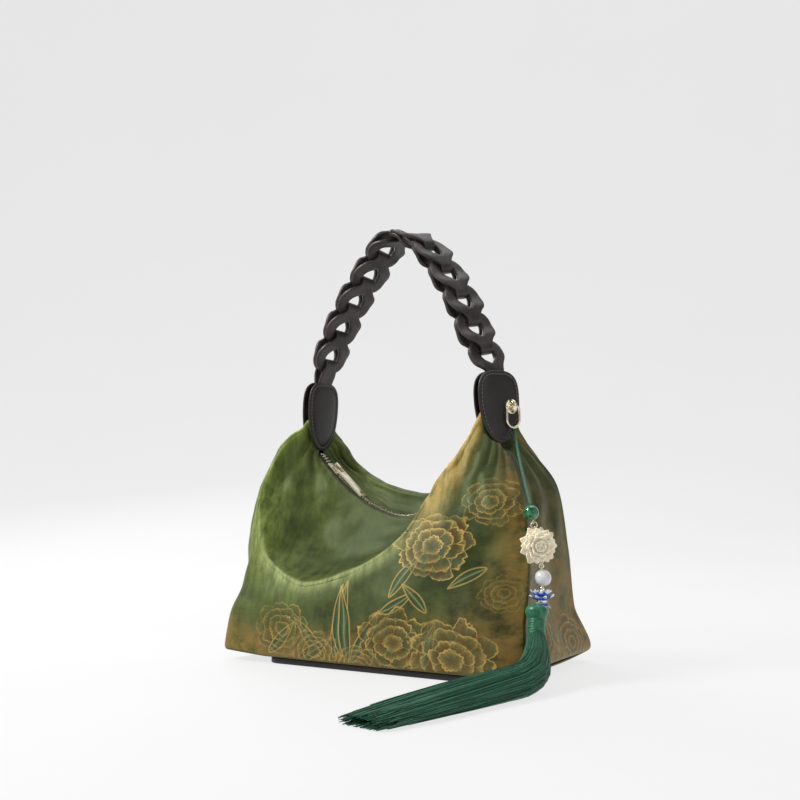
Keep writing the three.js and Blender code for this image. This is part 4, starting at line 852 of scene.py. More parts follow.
def bottomObject():
    rows, cols = 60, 30
    points, flat, shares = [], [], []
    for i in range(rows + 1):
        t = cornerShare + (1 - 2 * cornerShare) * i / rows
        a, b = seamPoint("front", t), seamPoint("back", t)
        for j in range(cols + 1):
            p = a + (b - a) * j / cols
            p[2] = seatHeight(p[0], p[1]) - base["gap"] * 0.5
            points.append(p * mm)
            flat.append((p[0] / 100.0, p[1] / 100.0))
            shares.append((0.5, 0.1))
    obj = meshObject("bottom_silk", points, gridFaces(rows + 1, cols + 1, False))
    clothUvs(obj, flat, shares)
    obj.data.materials.append(silk["back"])
    return obj


body["bottom"] = bottomObject()


def tubeObject(name, path, radius, sides, cloth, closed=False, ends=True):
    path = [Vector(p) for p in path]
    points, faces, flat = [], [], []
    count = len(path)
    lead = Vector((0, 0, 1))
    reach = 0.0
    for i, p in enumerate(path):
        before = path[i - 1] if i > 0 or closed else path[0]
        after = path[(i + 1) % count] if i + 1 < count or closed else path[-1]
        way = (after - before).normalized()
        lead = (lead - way * lead.dot(way))
        lead = lead.normalized() if lead.length > 1e-6 else way.orthogonal().normalized()
        side = way.cross(lead)
        reach += (p - before).length
        size = radius(i / max(count - 1, 1)) if callable(radius) else radius
        for j in range(sides):
            angle = 2 * math.pi * j / sides
            points.append(p + lead * math.cos(angle) * size + side * math.sin(angle) * size)
            flat.append((j / sides, reach * 10))
    for i in range(count if closed else count - 1):
        for j in range(sides):
            a, b = i * sides + j, i * sides + (j + 1) % sides
            c, d = ((i + 1) % count) * sides + (j + 1) % sides, ((i + 1) % count) * sides + j
            faces.append((a, b, c, d))
    if ends and not closed:
        faces.append(tuple(range(sides))[::-1])
        faces.append(tuple(range((count - 1) * sides, count * sides)))
    obj = meshObject(name, points, faces)
    layer = obj.data.uv_layers.new(name="cloth")
    for loop in obj.data.loops:
        layer.data[loop.index].uv = flat[loop.vertex_index]
    if cloth:
        obj.data.materials.append(cloth)
    return obj


def seamWelt(name, panel, low, high, cloth):
    path = []
    for t in np.linspace(low, high, 120):
        p = intoTabs(seamPoint(panel, t))
        path.append(Vector(p * mm))
    return tubeObject(name, path, 0.0011, 8, cloth)


welts = [seamWelt("front_seam", "front", 0.0, 1.0, silk["left"]),
         seamWelt("back_seam", "back", 0.0, 1.0, silk["back"])]
for welt in welts:
    layer = welt.data.uv_layers.new(name="shares")
    for item in layer.data:
        item.uv = (0.45, 0.1)


# One tool for what repeats along a path: stitches and teeth
def buildRepeat():
    tree = bpy.data.node_groups.new("repeat_along", "GeometryNodeTree")
    tree.interface.new_socket("Geometry", in_out="INPUT", socket_type="NodeSocketGeometry")
    tree.interface.new_socket("Spacing", in_out="INPUT", socket_type="NodeSocketFloat")
    tree.interface.new_socket("Piece", in_out="INPUT", socket_type="NodeSocketObject")
    tree.interface.new_socket("Cover", in_out="INPUT", socket_type="NodeSocketMaterial")
    tree.interface.new_socket("Geometry", in_out="OUTPUT", socket_type="NodeSocketGeometry")
    source = tree.nodes.new("NodeGroupInput")
    target = tree.nodes.new("NodeGroupOutput")
    spread = tree.nodes.new("GeometryNodeResampleCurve")
    spread.mode = "LENGTH"
    level = tree.nodes.new("GeometryNodeSetCurveNormal")
    level.mode = "Z_UP"
    tangent = tree.nodes.new("GeometryNodeInputTangent")
    upright = tree.nodes.new("GeometryNodeInputNormal")
    turn = tree.nodes.new("FunctionNodeAxesToRotation")
    info = tree.nodes.new("GeometryNodeObjectInfo")
    place = tree.nodes.new("GeometryNodeInstanceOnPoints")
    real = tree.nodes.new("GeometryNodeRealizeInstances")
    cover = tree.nodes.new("GeometryNodeSetMaterial")
    turn.primary_axis = "X"
    turn.secondary_axis = "Y"
    link = tree.links.new
    link(source.outputs["Geometry"], spread.inputs["Curve"])
    link(source.outputs["Spacing"], spread.inputs["Length"])
    link(source.outputs["Piece"], info.inputs["Object"])
    link(tangent.outputs[0], turn.inputs["Primary Axis"])
    link(upright.outputs[0], turn.inputs["Secondary Axis"])
    link(spread.outputs[0], level.inputs["Curve"])
    link(level.outputs[0], place.inputs["Points"])
    link(info.outputs["Geometry"], place.inputs["Instance"])
    link(turn.outputs[0], place.inputs["Rotation"])
    link(place.outputs[0], real.inputs[0])
    link(real.outputs[0], cover.inputs["Geometry"])
    link(source.outputs["Cover"], cover.inputs["Material"])
    link(cover.outputs[0], target.inputs[0])
    return tree


repeatAlong = buildRepeat()


def stitchPiece():
    made = []
    for i in range(9):
        a = math.pi * i / 8
        ring = 0.48 * mm * math.sin(a) ** 0.6
        x = -1.25 * mm * math.cos(a)
        made.append([(x, ring * math.cos(b), ring * math.sin(b)) for b in np.linspace(0, 2 * math.pi, 8,
                                                                                      endpoint=False)])
    points = [p for ring in made for p in ring]
    faces = [(i * 8 + j, i * 8 + (j + 1) % 8, (i + 1) * 8 + (j + 1) % 8,
              (i + 1) * 8 + j) for i in range(8) for j in range(8)]
    obj = meshObject("stitch_piece", points, faces)
    return obj


def toothPiece():
    length, wide, thick, cut = 1.35 * mm, 4.4 * mm, 2.2 * mm, 0.3 * mm
    rings = []
    for y, size in ((-wide / 2, 0.7), (-wide / 2 + cut, 1.0), (wide / 2 - cut, 1.0), (wide / 2, 0.7)):
        x, z = length / 2 * size, thick / 2 * size
        rings.append([(-x, y, -z + cut), (-x + cut, y, -z), (x - cut, y, -z), (x, y, -z + cut),
                      (x, y, z - cut), (x - cut, y, z), (-x + cut, y, z), (-x, y, z - cut)])
    points = [p for ring in rings for p in ring]
    faces = [(i * 8 + j, (i + 1) * 8 + j, (i + 1) * 8 + (j + 1) % 8,
              i * 8 + (j + 1) % 8) for i in range(3) for j in range(8)]
    faces += [tuple(range(8)), tuple(range(24, 32))[::-1]]
    return meshObject("tooth_piece", points, faces, False)


def repeated(name, routes, spacing, piece, cover):
    data = bpy.data.curves.new(name + "_route", "CURVE")
    data.dimensions = "3D"
    for route, closed in routes:
        spline = data.splines.new("POLY")
        spline.points.add(len(route) - 1)
        for point, place in zip(spline.points, route):
            point.co = (*place, 1)
        spline.use_cyclic_u = closed
    carrier = bpy.data.objects.new(name + "_route", data)
    scene.collection.objects.link(carrier)
    tool = carrier.modifiers.new("repeat", "NODES")
    tool.node_group = repeatAlong
    for item in repeatAlong.interface.items_tree:
        if item.item_type == "SOCKET" and item.in_out == "INPUT" and item.name != "Geometry":
            tool[item.identifier] = {"Spacing": spacing * mm, "Piece": piece, "Cover": cover}[item.name]
    carrier.update_tag()
    graph = bpy.context.evaluated_depsgraph_get()
    graph.update()
    mesh = bpy.data.meshes.new_from_object(carrier.evaluated_get(graph), depsgraph=graph)
    mesh.name = name
    made = bpy.data.objects.new(name, mesh)
    scene.collection.objects.link(made)
    bpy.data.objects.remove(carrier)
    if "cloth" not in mesh.uv_layers:
        mesh.uv_layers.new(name="cloth")
    return made


stitch = stitchPiece()
tooth = toothPiece()


# Tabs
def leafRing(inset, count=84):
    ups = np.linspace(-1, 1, 400)
    side = [(leafHalf(u), u * tabSize["height"] / 2) for u in ups]
    outline = side + [(-w, u) for w, u in side[::-1]]
    path = np.array(outline + outline[:1])
    steps = np.concatenate([[0], np.cumsum(np.linalg.norm(np.diff(path, axis=0), axis=1))])
    at = np.linspace(0, steps[-1], count, endpoint=False)
    ring = np.stack([np.interp(at, steps, path[:, 0]), np.interp(at, steps, path[:, 1])], axis=1)
    for _ in range(4):
        ring = (np.roll(ring, 1, 0) + ring * 2 + np.roll(ring, -1, 0)) / 4
    way = np.roll(ring, -1, 0) - np.roll(ring, 1, 0)
    normal = np.stack([way[:, 1], -way[:, 0]], axis=1)
    normal /= np.linalg.norm(normal, axis=1)[:, None]
    reach = np.linalg.norm(ring, axis=1)
    shrink = np.clip(inset / reach, 0, 0.985)
    return ring - normal * min(inset, 4.0) - ring * (shrink * (inset > 4.0))[:, None] * 0.94


def leafObject(name, tab, facing):
    inner = tabSize["tuck"] + base["gap"]
    half = tabSize["leaf"] / 2
    # inset from the edge, height over the leaf's middle as a share of half its thickness
    profile = [(6.0, -1.0), (0.9, -1.0), (0.3, -0.8), (0.0, -0.2), (0.0, 0.3), (0.3, 0.85), (0.9, 1.12),
               (1.9, 1.2),
               (2.4, 1.05), (3.0, 0.45), (3.6, 0.95), (5.0, 1.25), (9.0, 1.38), (13.0, 1.42), (17.0, 1.44),
               (20.0, 1.44)]
    points, faces = [], []
    count = 84
    for inset, lift in profile:
        for w, u in leafRing(inset, count):
            crown = tabSize["crown"] * (1 - (w / (tabSize["width"] / 2)) ** 2) * (1 - (u / (tabSize["height"] / 2)) ** 2)
            points.append(onTab(tab, w, u, facing * (inner + half + max(crown, 0) + half * lift)) * mm)
    rings = len(profile)
    for i in range(rings - 1):
        for j in range(count):
            a, b = i * count + j, i * count + (j + 1) % count
            faces.append((a, b, b + count, a + count))
    faces.append(tuple(range(count))[::-1])
    faces.append(tuple(range((rings - 1) * count, rings * count)))
    obj = meshObject(name, points, faces)
    turnOut(obj)
    obj.data.materials.append(leather)
    route = []
    for w, u in leafRing(3.0, 160):
        crown = tabSize["crown"] * (1 - (w / (tabSize["width"] / 2)) ** 2) * (1 - (u / (tabSize["height"] / 2)) ** 2)
        route.append(onTab(tab, w, u, facing * (inner + tabSize["leaf"] + max(crown, 0) - 0.05)) * mm)
    return obj, route


def turnOut(obj):
    work = bmesh.new()
    work.from_mesh(obj.data)
    bmesh.ops.recalc_face_normals(work, faces=work.faces)
    work.to_mesh(obj.data)
    work.free()
    for polygon in obj.data.polygons:
        polygon.use_smooth = True


leaves, leafRoutes = {}, []
for side, tab in tabs.items():
    for facing, face in ((1, "outer"), (-1, "inner")):
        node = side + "_tab_" + face
        leaves[node], route = leafObject(node + "_leather", tab, facing)
        leafRoutes.append((route, True))
tabStitches = repeated("tab_stitches", leafRoutes, 3.3, stitch, stitchThread)
print("stage: tabs")


# Handle
archLine = [(1.00, 0.00), (0.925, 0.09), (0.80, 0.25), (0.655, 0.475), (0.46, 0.695), (0.24, 0.885),
            (0.00, 0.975),
            (-0.22, 0.915), (-0.375, 0.785), (-0.55, 0.625), (-0.705, 0.455), (-0.835, 0.28),
            (-0.945, 0.10), (-0.985, 0.00)]


def makeArch():
    inside = [onTab(tabs[side], 0, tabSize["height"] / 2 - handle["tuck"], 0) for side in ("right", "left")]
    points = [inside[0]]
    for i, (across, rise) in enumerate(archLine):
        lift = tabSize["rightLift"] * (1 - i / (len(archLine) - 1))
        span = tabSize["rightSpan"] if across > 0 else tabSize["leftSpan"]
        points.append(np.array([across * span, 0, tabSize["top"] + lift + rise * handle["rise"]]))
    points.append(inside[1])
    return Path(centripetal(points, 60))


arch = makeArch()
linkPitch = (arch.length - 2 * handle["tuck"] - handle["ringReach"] - handle["strapReach"]) / handle["links"]


def onHandle(s, w, n):
    along = s + handle["tuck"]
    tangent = arch.tangent(along)
    t = min(max(along / arch.length, 0), 1)
    turn = math.radians(tabSize["rightTurn"] + (tabSize["leftTurn"] - tabSize["rightTurn"]) * t ** 3)
    flat = np.array([math.sin(turn), math.cos(turn), 0])
    across = unit(flat - tangent * (flat @ tangent))
    out = np.cross(across, tangent)
    return arch.at(along) + across * w + out * n


layersHalf = handle["leather"] + handle["layerGap"] / 2
foldInner = layersHalf + base["gap"] + handle["ease"]


def legTable(pitch):
    end = pitch - 0.4
    tip = handle["tip"]
    return [(0, handle["waist"] / handle["half"], 0), (3.5, 0.50, 0), (7, 0.70, 0), (end - 18.5, 0.83, 0),
            (end - 16.2, 0.90, 0.16),
            (end - 14.2, 0.96, 0.52), (end - 11, 0.995, 0.84), (end - 7.5, 1.0, 0.98),
            (end - 4, 1.00, 1.00), (end - 1.6, 0.97, 0.93),
            (end - 0.4, 0.95, 0.74), (end, 0.93, 0.2), (end + 2.4, 0.87, 0), (end + tip * 0.6, 0.72, 0),
            (end + tip * 0.85, 0.52, 0),
            (end + tip, 0.30, 0)]


def strapMesh(name, rows, thick, cloth):
    points, faces = [], []
    sets = []
    for place, half, hole in rows:
        row = []
        for n in (thick / 2, -thick / 2):
            left = len(points)
            points.append(place(-half, n))
            points.append(place(-hole, n))
            if hole > 0:
                points.append(place(hole, n))
                right = left + 2
            else:
                right = left + 1
            points.append(place(half, n))
            row.append((left, left + 1, right, right + 1))
        sets.append(row)

    def quad(*ids):
        kept = [v for k, v in enumerate(ids) if v not in ids[:k]]
        if len(kept) > 2:
            faces.append(tuple(kept))

    for p, q, here, after in zip(sets, sets[1:], rows, rows[1:]):
        for k in (0, 2):
            quad(p[0][k], p[0][k + 1], q[0][k + 1], q[0][k])
            quad(p[1][k], q[1][k], q[1][k + 1], p[1][k + 1])
        quad(p[1][0], p[0][0], q[0][0], q[1][0])
        quad(p[1][3], q[1][3], q[0][3], p[0][3])
        if here[2] > 0 or after[2] > 0:
            quad(p[1][1], q[1][1], q[0][1], p[0][1])
            quad(p[1][2], p[0][2], q[0][2], q[1][2])
    for row, flip in ((sets[0], False), (sets[-1], True)):
        for k in (0, 2):
            ids = (row[1][k], row[1][k + 1], row[0][k + 1], row[0][k])
            quad(*(ids[::-1] if flip else ids))
    obj = meshObject(name, [np.array(p) * mm for p in points], faces)
    turnOut(obj)
    crease = obj.data.attributes.new("crease_edge", "FLOAT", "EDGE")
    rims = set()
    for p, q, here, after in zip(sets, sets[1:], rows, rows[1:]):
        for k in (0, 1, 2, 3) if here[2] > 0 or after[2] > 0 else (0, 3):
            rims.update({frozenset((p[0][k], q[0][k])), frozenset((p[1][k], q[1][k]))})
    for row in (sets[0], sets[-1]):
        rims.update(frozenset(row[layer][k:k + 2]) for layer in (0, 1) for k in (0, 1, 2))
    for edge in obj.data.edges:
        crease.data[edge.index].value = 0.7 if frozenset(edge.vertices) in rims else 0.0
    soft = obj.modifiers.new("soft", "SUBSURF")
    soft.levels = 2
    soft.render_levels = 2
    obj.data.materials.append(cloth)
    return obj


def foldedRows(start, leatherThick, table, closedHalf):
    bend = foldInner + leatherThick / 2
    easeFrom = handle["tip"] + 0.6

    def leg(row, side):
        eased = smooth(row[0], easeFrom, easeFrom + 12)
        offset = side * (bend + (closedHalf - bend) * eased)
        return (lambda w, n: onHandle(start + row[0], w, offset + side * n), row[1] * handle["half"],
                row[2] * handle["hole"])

    def fold(angle):
        return (lambda w, n: onHandle(start - (bend + n) * math.cos(angle), w,
                                      (bend + n) * math.sin(angle)), handle["waist"], 0)

    angles = [math.radians(a) for a in (-72, -48, -24, 0, 24, 48, 72)]
    return [leg(row, -1) for row in table[::-1]] + [fold(a) for a in angles] + [leg(row,
                                                                                    1) for row in table]


links = {}
for i in range(handle["links"]):
    start = handle["ringReach"] + i * linkPitch
    rows = foldedRows(start, handle["leather"], legTable(linkPitch), layersHalf - handle["leather"] / 2)
    links["handle_link_%02d" % (i + 1)] = strapMesh("link_leather_%02d" % (i + 1), rows, handle["leather"],
                                                    litLinkLeather)

reach = handle["ringReach"] - 0.4
ringTable = [(-handle["tuck"] + 1, 0.46, 0), (-3, 0.47, 0), (1, 0.49, 0), (4, 0.60, 0), (6.4, 0.76, 0),
             (8, 0.86, 0.2), (10, 0.95, 0.62),
             (13, 1.00, 0.93), (17, 1.00, 1.0), (reach - 1.6, 0.97, 0.93), (reach - 0.4, 0.95, 0.74),
             (reach, 0.93, 0.2),
             (reach + 2.4, 0.87, 0), (reach + 4.8, 0.72, 0), (reach + 6.8, 0.52, 0), (reach + 8, 0.30, 0)]
ringRows = [((lambda w, n, at=at: onHandle(at, w, n)), half * handle["half"], hole * handle["hole"]) for at,
            half, hole in ringTable]
links["strap_end_right"] = strapMesh("strap_leather_right", ringRows, handle["ringLeather"], litLinkLeather)
strapTable = [(0, handle["waist"] / handle["half"], 0), (3, 0.42, 0), (6, 0.48, 0), (11, 0.50, 0),
              (handle["strapReach"], 0.50, 0),
              (handle["strapReach"] + handle["tuck"] - 1, 0.48, 0)]
strapStart = handle["ringReach"] + handle["links"] * linkPitch
strapRows = foldedRows(strapStart, handle["endLeather"], strapTable,
                       (handle["endLeather"] + handle["layerGap"]) / 2)
links["strap_end_left"] = strapMesh("strap_leather_left", strapRows, handle["endLeather"], litLinkLeather)
print("stage: handle")


# Zip
zipSpan = 0.93 * tipHalf
zipPath = Path([zipLine(x) for x in np.linspace(-zipSpan, zipSpan, 400)])


zipOver = 4.0                   # how far the tapes and teeth run on under the tabs


def onZip(s, w, n):
    tangent = zipPath.tangent(min(max(s, 0.5), zipPath.length - 0.5))
    beyond = s - min(max(s, 0.0), zipPath.length)
    return zipPath.at(s) + tangent * beyond + np.array([0, w, 0]) + np.array([-tangent[2], 0,
                                                                              tangent[0]]) * n


sliderPlace = 15.0


def tapeObject(name, facing):
    rows, cols = 160, 6
    points, flat = [], []
    for i in range(rows + 1):
        s = (zipPath.length + 2 * zipOver) * i / rows - zipOver
        for j in range(cols + 1):
            w = facing * (zipSize["tooth"] * 0.55 + (zipSize["mouth"] + 0.6 - zipSize["tooth"] * 0.55) * j / cols)
            points.append(onZip(s, w, 0.15 * math.sin(j * 2.2)) * mm)
            flat.append((s / 10, w / 10))
    obj = meshObject(name, points, gridFaces(rows + 1, cols + 1, facing > 0))
    layer = obj.data.uv_layers.new(name="cloth")
    for loop in obj.data.loops:
        layer.data[loop.index].uv = flat[loop.vertex_index]
    obj.data.materials.append(tapeCloth)
    return thicken(obj, zipSize["tape"], 0)


tapes = {"zip_tape_front": tapeObject("tape_cloth_front", -1),
         "zip_tape_back": tapeObject("tape_cloth_back", 1)}


def toothRoutes(low, high):
    routes = []
    for facing, shift in ((-1, 0.0), (1, zipSize["pitch"] / 2)):
        stations = np.arange(low + shift, high, 1.3)
        routes.append(([onZip(s, facing * 1.5, 0.95) * mm for s in stations], False))
    return routes


teeth = {"zip_teeth": repeated("teeth_main", toothRoutes(sliderPlace + 1, zipPath.length + zipOver),
                               zipSize["pitch"], tooth, toothMetal),
         "zip_teeth_end": repeated("teeth_end", toothRoutes(0.2 - zipOver, sliderPlace - 6),
                                   zipSize["pitch"], tooth, toothMetal)}

for node in ("zip_slider", "zip_pull"):
    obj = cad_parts[node]
    obj.data.materials.clear()
    obj.data.materials.append(gold)
    edge = obj.modifiers.new("edge", "BEVEL")
    edge.width = 0.35 * mm
    edge.segments = 3
    edge.limit_method = "ANGLE"
    edge.angle_limit = math.radians(35)
print("stage: zip")


# Charm: ring and its mount
tabRight = tabs["right"]
leafFace = tabSize["tuck"] + base["gap"] + tabSize["leaf"] + tabSize["crown"]
fixture = {"across": 10.0, "up": 0.5, "wire": 2.2, "width": 15.0, "height": 19.5, "plate": 1.2}


def fixturePoint(x, y, z):
    return onTab(tabRight, fixture["across"] + x, fixture["up"] + y, leafFace + base["gap"] + z)


def ringObject():
    half = (fixture["width"] - fixture["wire"]) / 2
    drop = fixture["height"] - fixture["wire"] - half
    tilt = math.atan2(fixture["plate"] - base["gap"], fixture["height"])
    path = [(x, 0) for x in np.linspace(-half + 3, half - 3, 8)]
    path += [(half - 3 + 3 * math.sin(a), -3 + 3 * math.cos(a)) for a in np.linspace(0.2, math.pi / 2, 6)]
    path += [(half, y) for y in np.linspace(-4, -drop + 0.5, 6)]
    path += [(half * math.cos(a), -drop - half * math.sin(a)) for a in np.linspace(0, math.pi, 22)]
    path += [(-half, y) for y in np.linspace(-drop + 0.5, -4, 6)]
    path += [(-half + 3 - 3 * math.sin(a), -3 + 3 * math.cos(a)) for a in np.linspace(math.pi / 2, 0.2, 6)]
    seat = fixture["plate"] + base["gap"] + fixture["wire"] / 2
    route = [fixturePoint(x, y * math.cos(tilt), seat + y * math.sin(tilt)) * mm for x, y in path]
    return tubeObject("ring_metal", route, fixture["wire"] / 2 * mm, 14, gold, closed=True)


def lathe(name, profile, place, sides, cover):
    points, faces = [], []
    for radius, height in profile:
        for j in range(sides):
            angle = 2 * math.pi * j / sides
            points.append(place(radius * math.cos(angle), radius * math.sin(angle), height) * mm)
    for i in range(len(profile) - 1):
        for j in range(sides):
            a, b = i * sides + j, i * sides + (j + 1) % sides
            faces.append((a, b, b + sides, a + sides))
    faces.append(tuple(range(sides))[::-1])
    faces.append(tuple(range((len(profile) - 1) * sides, len(profile) * sides)))
    obj = meshObject(name, points, faces)
    turnOut(obj)
    obj.data.materials.append(cover)
    layer = obj.data.uv_layers.new(name="cloth")
    flat = [(j / sides, i / len(profile)) for i in range(len(profile)) for j in range(sides)]
    for loop in obj.data.loops:
        layer.data[loop.index].uv = flat[loop.vertex_index]
    return obj


def mountObjects():
    plate = lathe("mount_plate", [(5.2, 0.0), (5.9, 0.15), (6.0, 0.6), (5.7, 1.05), (4.6, 1.2), (3.0, 1.5),
                                  (1.0, 1.6), (0.2, 1.6)],
                  fixturePoint, 40, gold)
    path = []
    for angle in np.linspace(0, math.pi, 22):
        path.append(fixturePoint(0, 3.9 * math.cos(angle),
                                 fixture["plate"] - 0.2 + 3.9 * math.sin(angle)) * mm)
    bridge = tubeObject("mount_bridge", path, lambda t: (1.5 + 1.0 * (1 - t) ** 2) * mm, 16, gold)
    return [plate, bridge]


charm = {"charm_ring": [ringObject()], "ring_mount": mountObjects()}

charmOut = base["halfWidth"]
cordFoot = {"top": np.array([98.6, 5.2, 191.9]), "below": np.array([99.2, 4.9, 189.1]),
            "foot": np.array([charmOut - 2.1, -38.9, 131.7]), "bow": np.array([-0.8, 0.6, -1.2]),
            "steps": 13}
cordShares = np.arange(cordFoot["steps"] + 1) / cordFoot["steps"]
cordRoute = [cordFoot["top"]] + [cordFoot["below"] + (cordFoot["foot"] - cordFoot["below"]) * s + cordFoot["bow"] * 4 * s * (1 - s)
                                 for s in cordShares]


def cordObject():
    points = [np.array(p) for p in cordRoute]
    path = centripetal(points, 8) * mm
    strands = []
    for k in (0, 1):
        route = []
        for i, p in enumerate(path):
            way = path[min(i + 1, len(path) - 1)] - path[max(i - 1, 0)]
            side = unit(np.cross(way, [0.5, 0.86, 0.2]))
            route.append(Vector(p + side * (0.00072 if k else -0.00072)))
        strands.append(route)
    first = tubeObject("charm_cord_silk", strands[0], 0.00078, 10, cordThread)
    second = tubeObject("charm_cord_two", strands[1], 0.00078, 10, cordThread)
    joined = joinObjects([first, second], "charm_cord_silk")
    return joined, path


def joinObjects(objects, name):
    bpy.ops.object.select_all(action="DESELECT")
    for obj in objects:
        obj.select_set(True)
    bpy.context.view_layer.objects.active = objects[0]
    bpy.ops.object.join()
    objects[0].name = name
    return objects[0]


cordPiece, cordPath = cordObject()

places = {"bead": (133.5, -42.1, 126.2), "flower": (139.8, -42.2, 101.4), "pearl": (141.2, -38.5, 77.2),
          "cap": (142.4, -44.5, 62.6), "head": (143.0, -55.0, 53.0)}
places = {key: np.array(value) for key, value in places.items()}


def ballObject(name, centre, radius, cover):
    profile = [(radius * math.sin(a), radius * math.cos(a)) for a in np.linspace(0.06, math.pi - 0.06, 26)]
    return lathe(name, profile, lambda x, y, z: centre + np.array([x, y, z]), 36, cover)


def loopRing(name, centre, radius, wire, normal):
    side = unit(np.cross(normal, [0.1, 0.2, 1.0]))
    up = np.cross(side, normal)
    route = [(centre + side * radius * math.cos(a) + up * radius * math.sin(a)) * mm
             for a in np.linspace(0, 2 * math.pi, 28, endpoint=False)]
    return tubeObject(name, route, wire / 2 * mm, 10, gold, closed=True)


edges = {"bead": 6.0, "flower": 14 * 0.907, "pearl": 6.4, "cap": 4.5}
order = ["bead", "flower", "pearl", "cap"]
for k in range(3):
    upper, lower = order[k], order[k + 1]
    way = unit(places[lower] - places[upper])
    a = places[upper] + way * (edges[upper] + 0.9)
    b = places[lower] - way * (edges[lower] + 0.9)
    eyes = [loopRing("eye_%d_%d" % (k, e), q, 1.3, 0.8, np.array([1.0, 0, 0])) for e,
            q in enumerate((a, b))]
    ring = loopRing("link_ring_%d" % (k + 1), (a + b) / 2, np.linalg.norm(b - a) / 2, 0.9,
                    unit(np.cross(way, [1.0, 0, 0])))
    charm["charm_loop_%d" % (k + 1)] = [ring] + eyes
charm["green_bead"] = [ballObject("bead_glass", places["bead"], 6.0, greenGlass)]
charm["pearl_bead"] = [ballObject("bead_pearl", places["pearl"], 6.4, pearl)]


def petalPatch(points, faces, flat, frameOf, base0, length, width, lift, curl, tilt, turn):
    rows, cols = 9, 7
    first = len(points)
    for i in range(rows):
        s = i / (rows - 1)
        half = width * (math.sin(math.pi * (0.12 + 0.80 * s ** 0.8)) ** 0.8) * (1 - 0.55 * s ** 5)
        for j in range(cols):
            c = 2 * j / (cols - 1) - 1
            along = base0 + length * s * math.cos(tilt) + (0.0 if s < 0.99 else length * 0.10 * (1 - c * c))
            height = lift + length * s * math.sin(tilt) + curl * s * s + 0.22 * width * c * c
            side = half * c
            x = along * math.cos(turn) - side * math.sin(turn)
            y = along * math.sin(turn) + side * math.cos(turn)
            points.append(frameOf(x, y, height) * mm)
            flat.append((j / (cols - 1), s))
    for i in range(rows - 1):
        for j in range(cols - 1):
            a = first + i * cols + j
            faces.append((a, a + cols, a + cols + 1, a + 1))


def petalsObject(name, tiers, frameOf, cover, thick):
    points, faces, flat = [], [], []
    for count, base0, length, width, lift, curl, tilt, phase in tiers:
        for k in range(count):
            turn = 2 * math.pi * (k + phase) / count
            wobble = 1 + 0.06 * math.sin(k * 2.4 + phase * 9)
            petalPatch(points, faces, flat, frameOf, base0, length * wobble, width, lift, curl,
                       math.radians(tilt), turn)
    obj = meshObject(name, points, faces)
    layer = obj.data.uv_layers.new(name="cloth")
    for loop in obj.data.loops:
        layer.data[loop.index].uv = flat[loop.vertex_index]
    obj.data.materials.append(cover)
    thicken(obj, thick, 0)
    return obj


flowerTurn = math.radians(52)
flowerOut = np.array([math.cos(flowerTurn), -math.sin(flowerTurn), 0])
flowerAcross = np.array([math.sin(flowerTurn), math.cos(flowerTurn), 0])


def flowerPoint(x, y, z):
    return places["flower"] + flowerAcross * x + np.array([0, 0, y]) + flowerOut * z


# count, where a petal starts, its length and half width, lift, curl, tilt in degrees and phase
flowerTiers = [(9, 4.6, 9.4, 5.0, -3.8, 1.4, -2, 0.0), (9, 4.0, 8.8, 4.8, -2.0, 1.8, 9, 0.5),
               (8, 3.2, 8.0, 4.6, -0.2, 2.0, 24, 0.1),
               (7, 2.6, 6.6, 4.0, 1.2, 1.0, 42, 0.4), (6, 1.4, 5.2, 3.2, 2.2, -0.4, 60, 0.0),
               (4, 0.4, 4.0, 2.6, 2.8, -1.6, 74, 0.3)]
flowerCore = lathe("flower_core", [(2, -6), (9, -5.2), (10.5, -3.4), (9, -1.0), (6.5, 1.4), (3.4, 3.2),
                                   (0.4, 4.4)], flowerPoint, 28, ivory)
charm["carved_flower"] = [petalsObject("flower_petals", flowerTiers, flowerPoint, ivory, 0.9), flowerCore]


def capPoint(x, y, z):
    return places["cap"] + np.array([x, y, z])


capTiers = [(8, 1.6, 8.0, 2.6, -2.2, 2.6, 14, 0.0), (8, 1.6, 7.2, 2.4, -0.8, 2.6, 34, 0.5),
            (6, 1.2, 5.6, 2.0, 0.4, 1.0, 56, 0.2),
            (8, 1.6, 5.6, 2.2, -2.6, -1.6, -30, 0.25)]
capCore = lathe("cap_core", [(0.5, -4.4), (3.0, -4.0), (3.9, -2.2), (3.0, 0.2), (2.0, 2.0), (0.6, 4.2)],
                capPoint, 24, gold)
charm["petal_cap"] = [petalsObject("cap_petals", capTiers, capPoint, enamel, 0.6), capCore]
print("stage: charm")


# Tassel
stations = [(143.5, -58, 37, 6.2, 6.2), (146.5, -64, 29, 8.5, 8.5), (149.5, -73, 19.5, 11, 10),
            (149.5, -84, 12, 14.5, 10.5),
            (143, -98, 8.4, 21, 10.5), (132.5, -125, 6.6, 25, 9.6), (123, -160, 5.4, 26, 7.8),
            (114, -200, 4.2, 24, 6), (106, -243, 3, 19, 4.2)]
stationArray = [np.array(s, float) for s in stations]


def strandPoint(t, a, b):
    here = catmull(stationArray, t, 0.5)
    later, earlier = catmull(stationArray, min(t + 0.02, 1), 0.5), catmull(stationArray, max(t - 0.02, 0),
                                                                           0.5)
    along = unit(later[:3] - earlier[:3])
    sideways = unit(np.array([-along[1], along[0], 0]))
    up = -np.cross(along, sideways)
    p = here[:3] + sideways * a * here[3] + up * b * here[4]
    return p


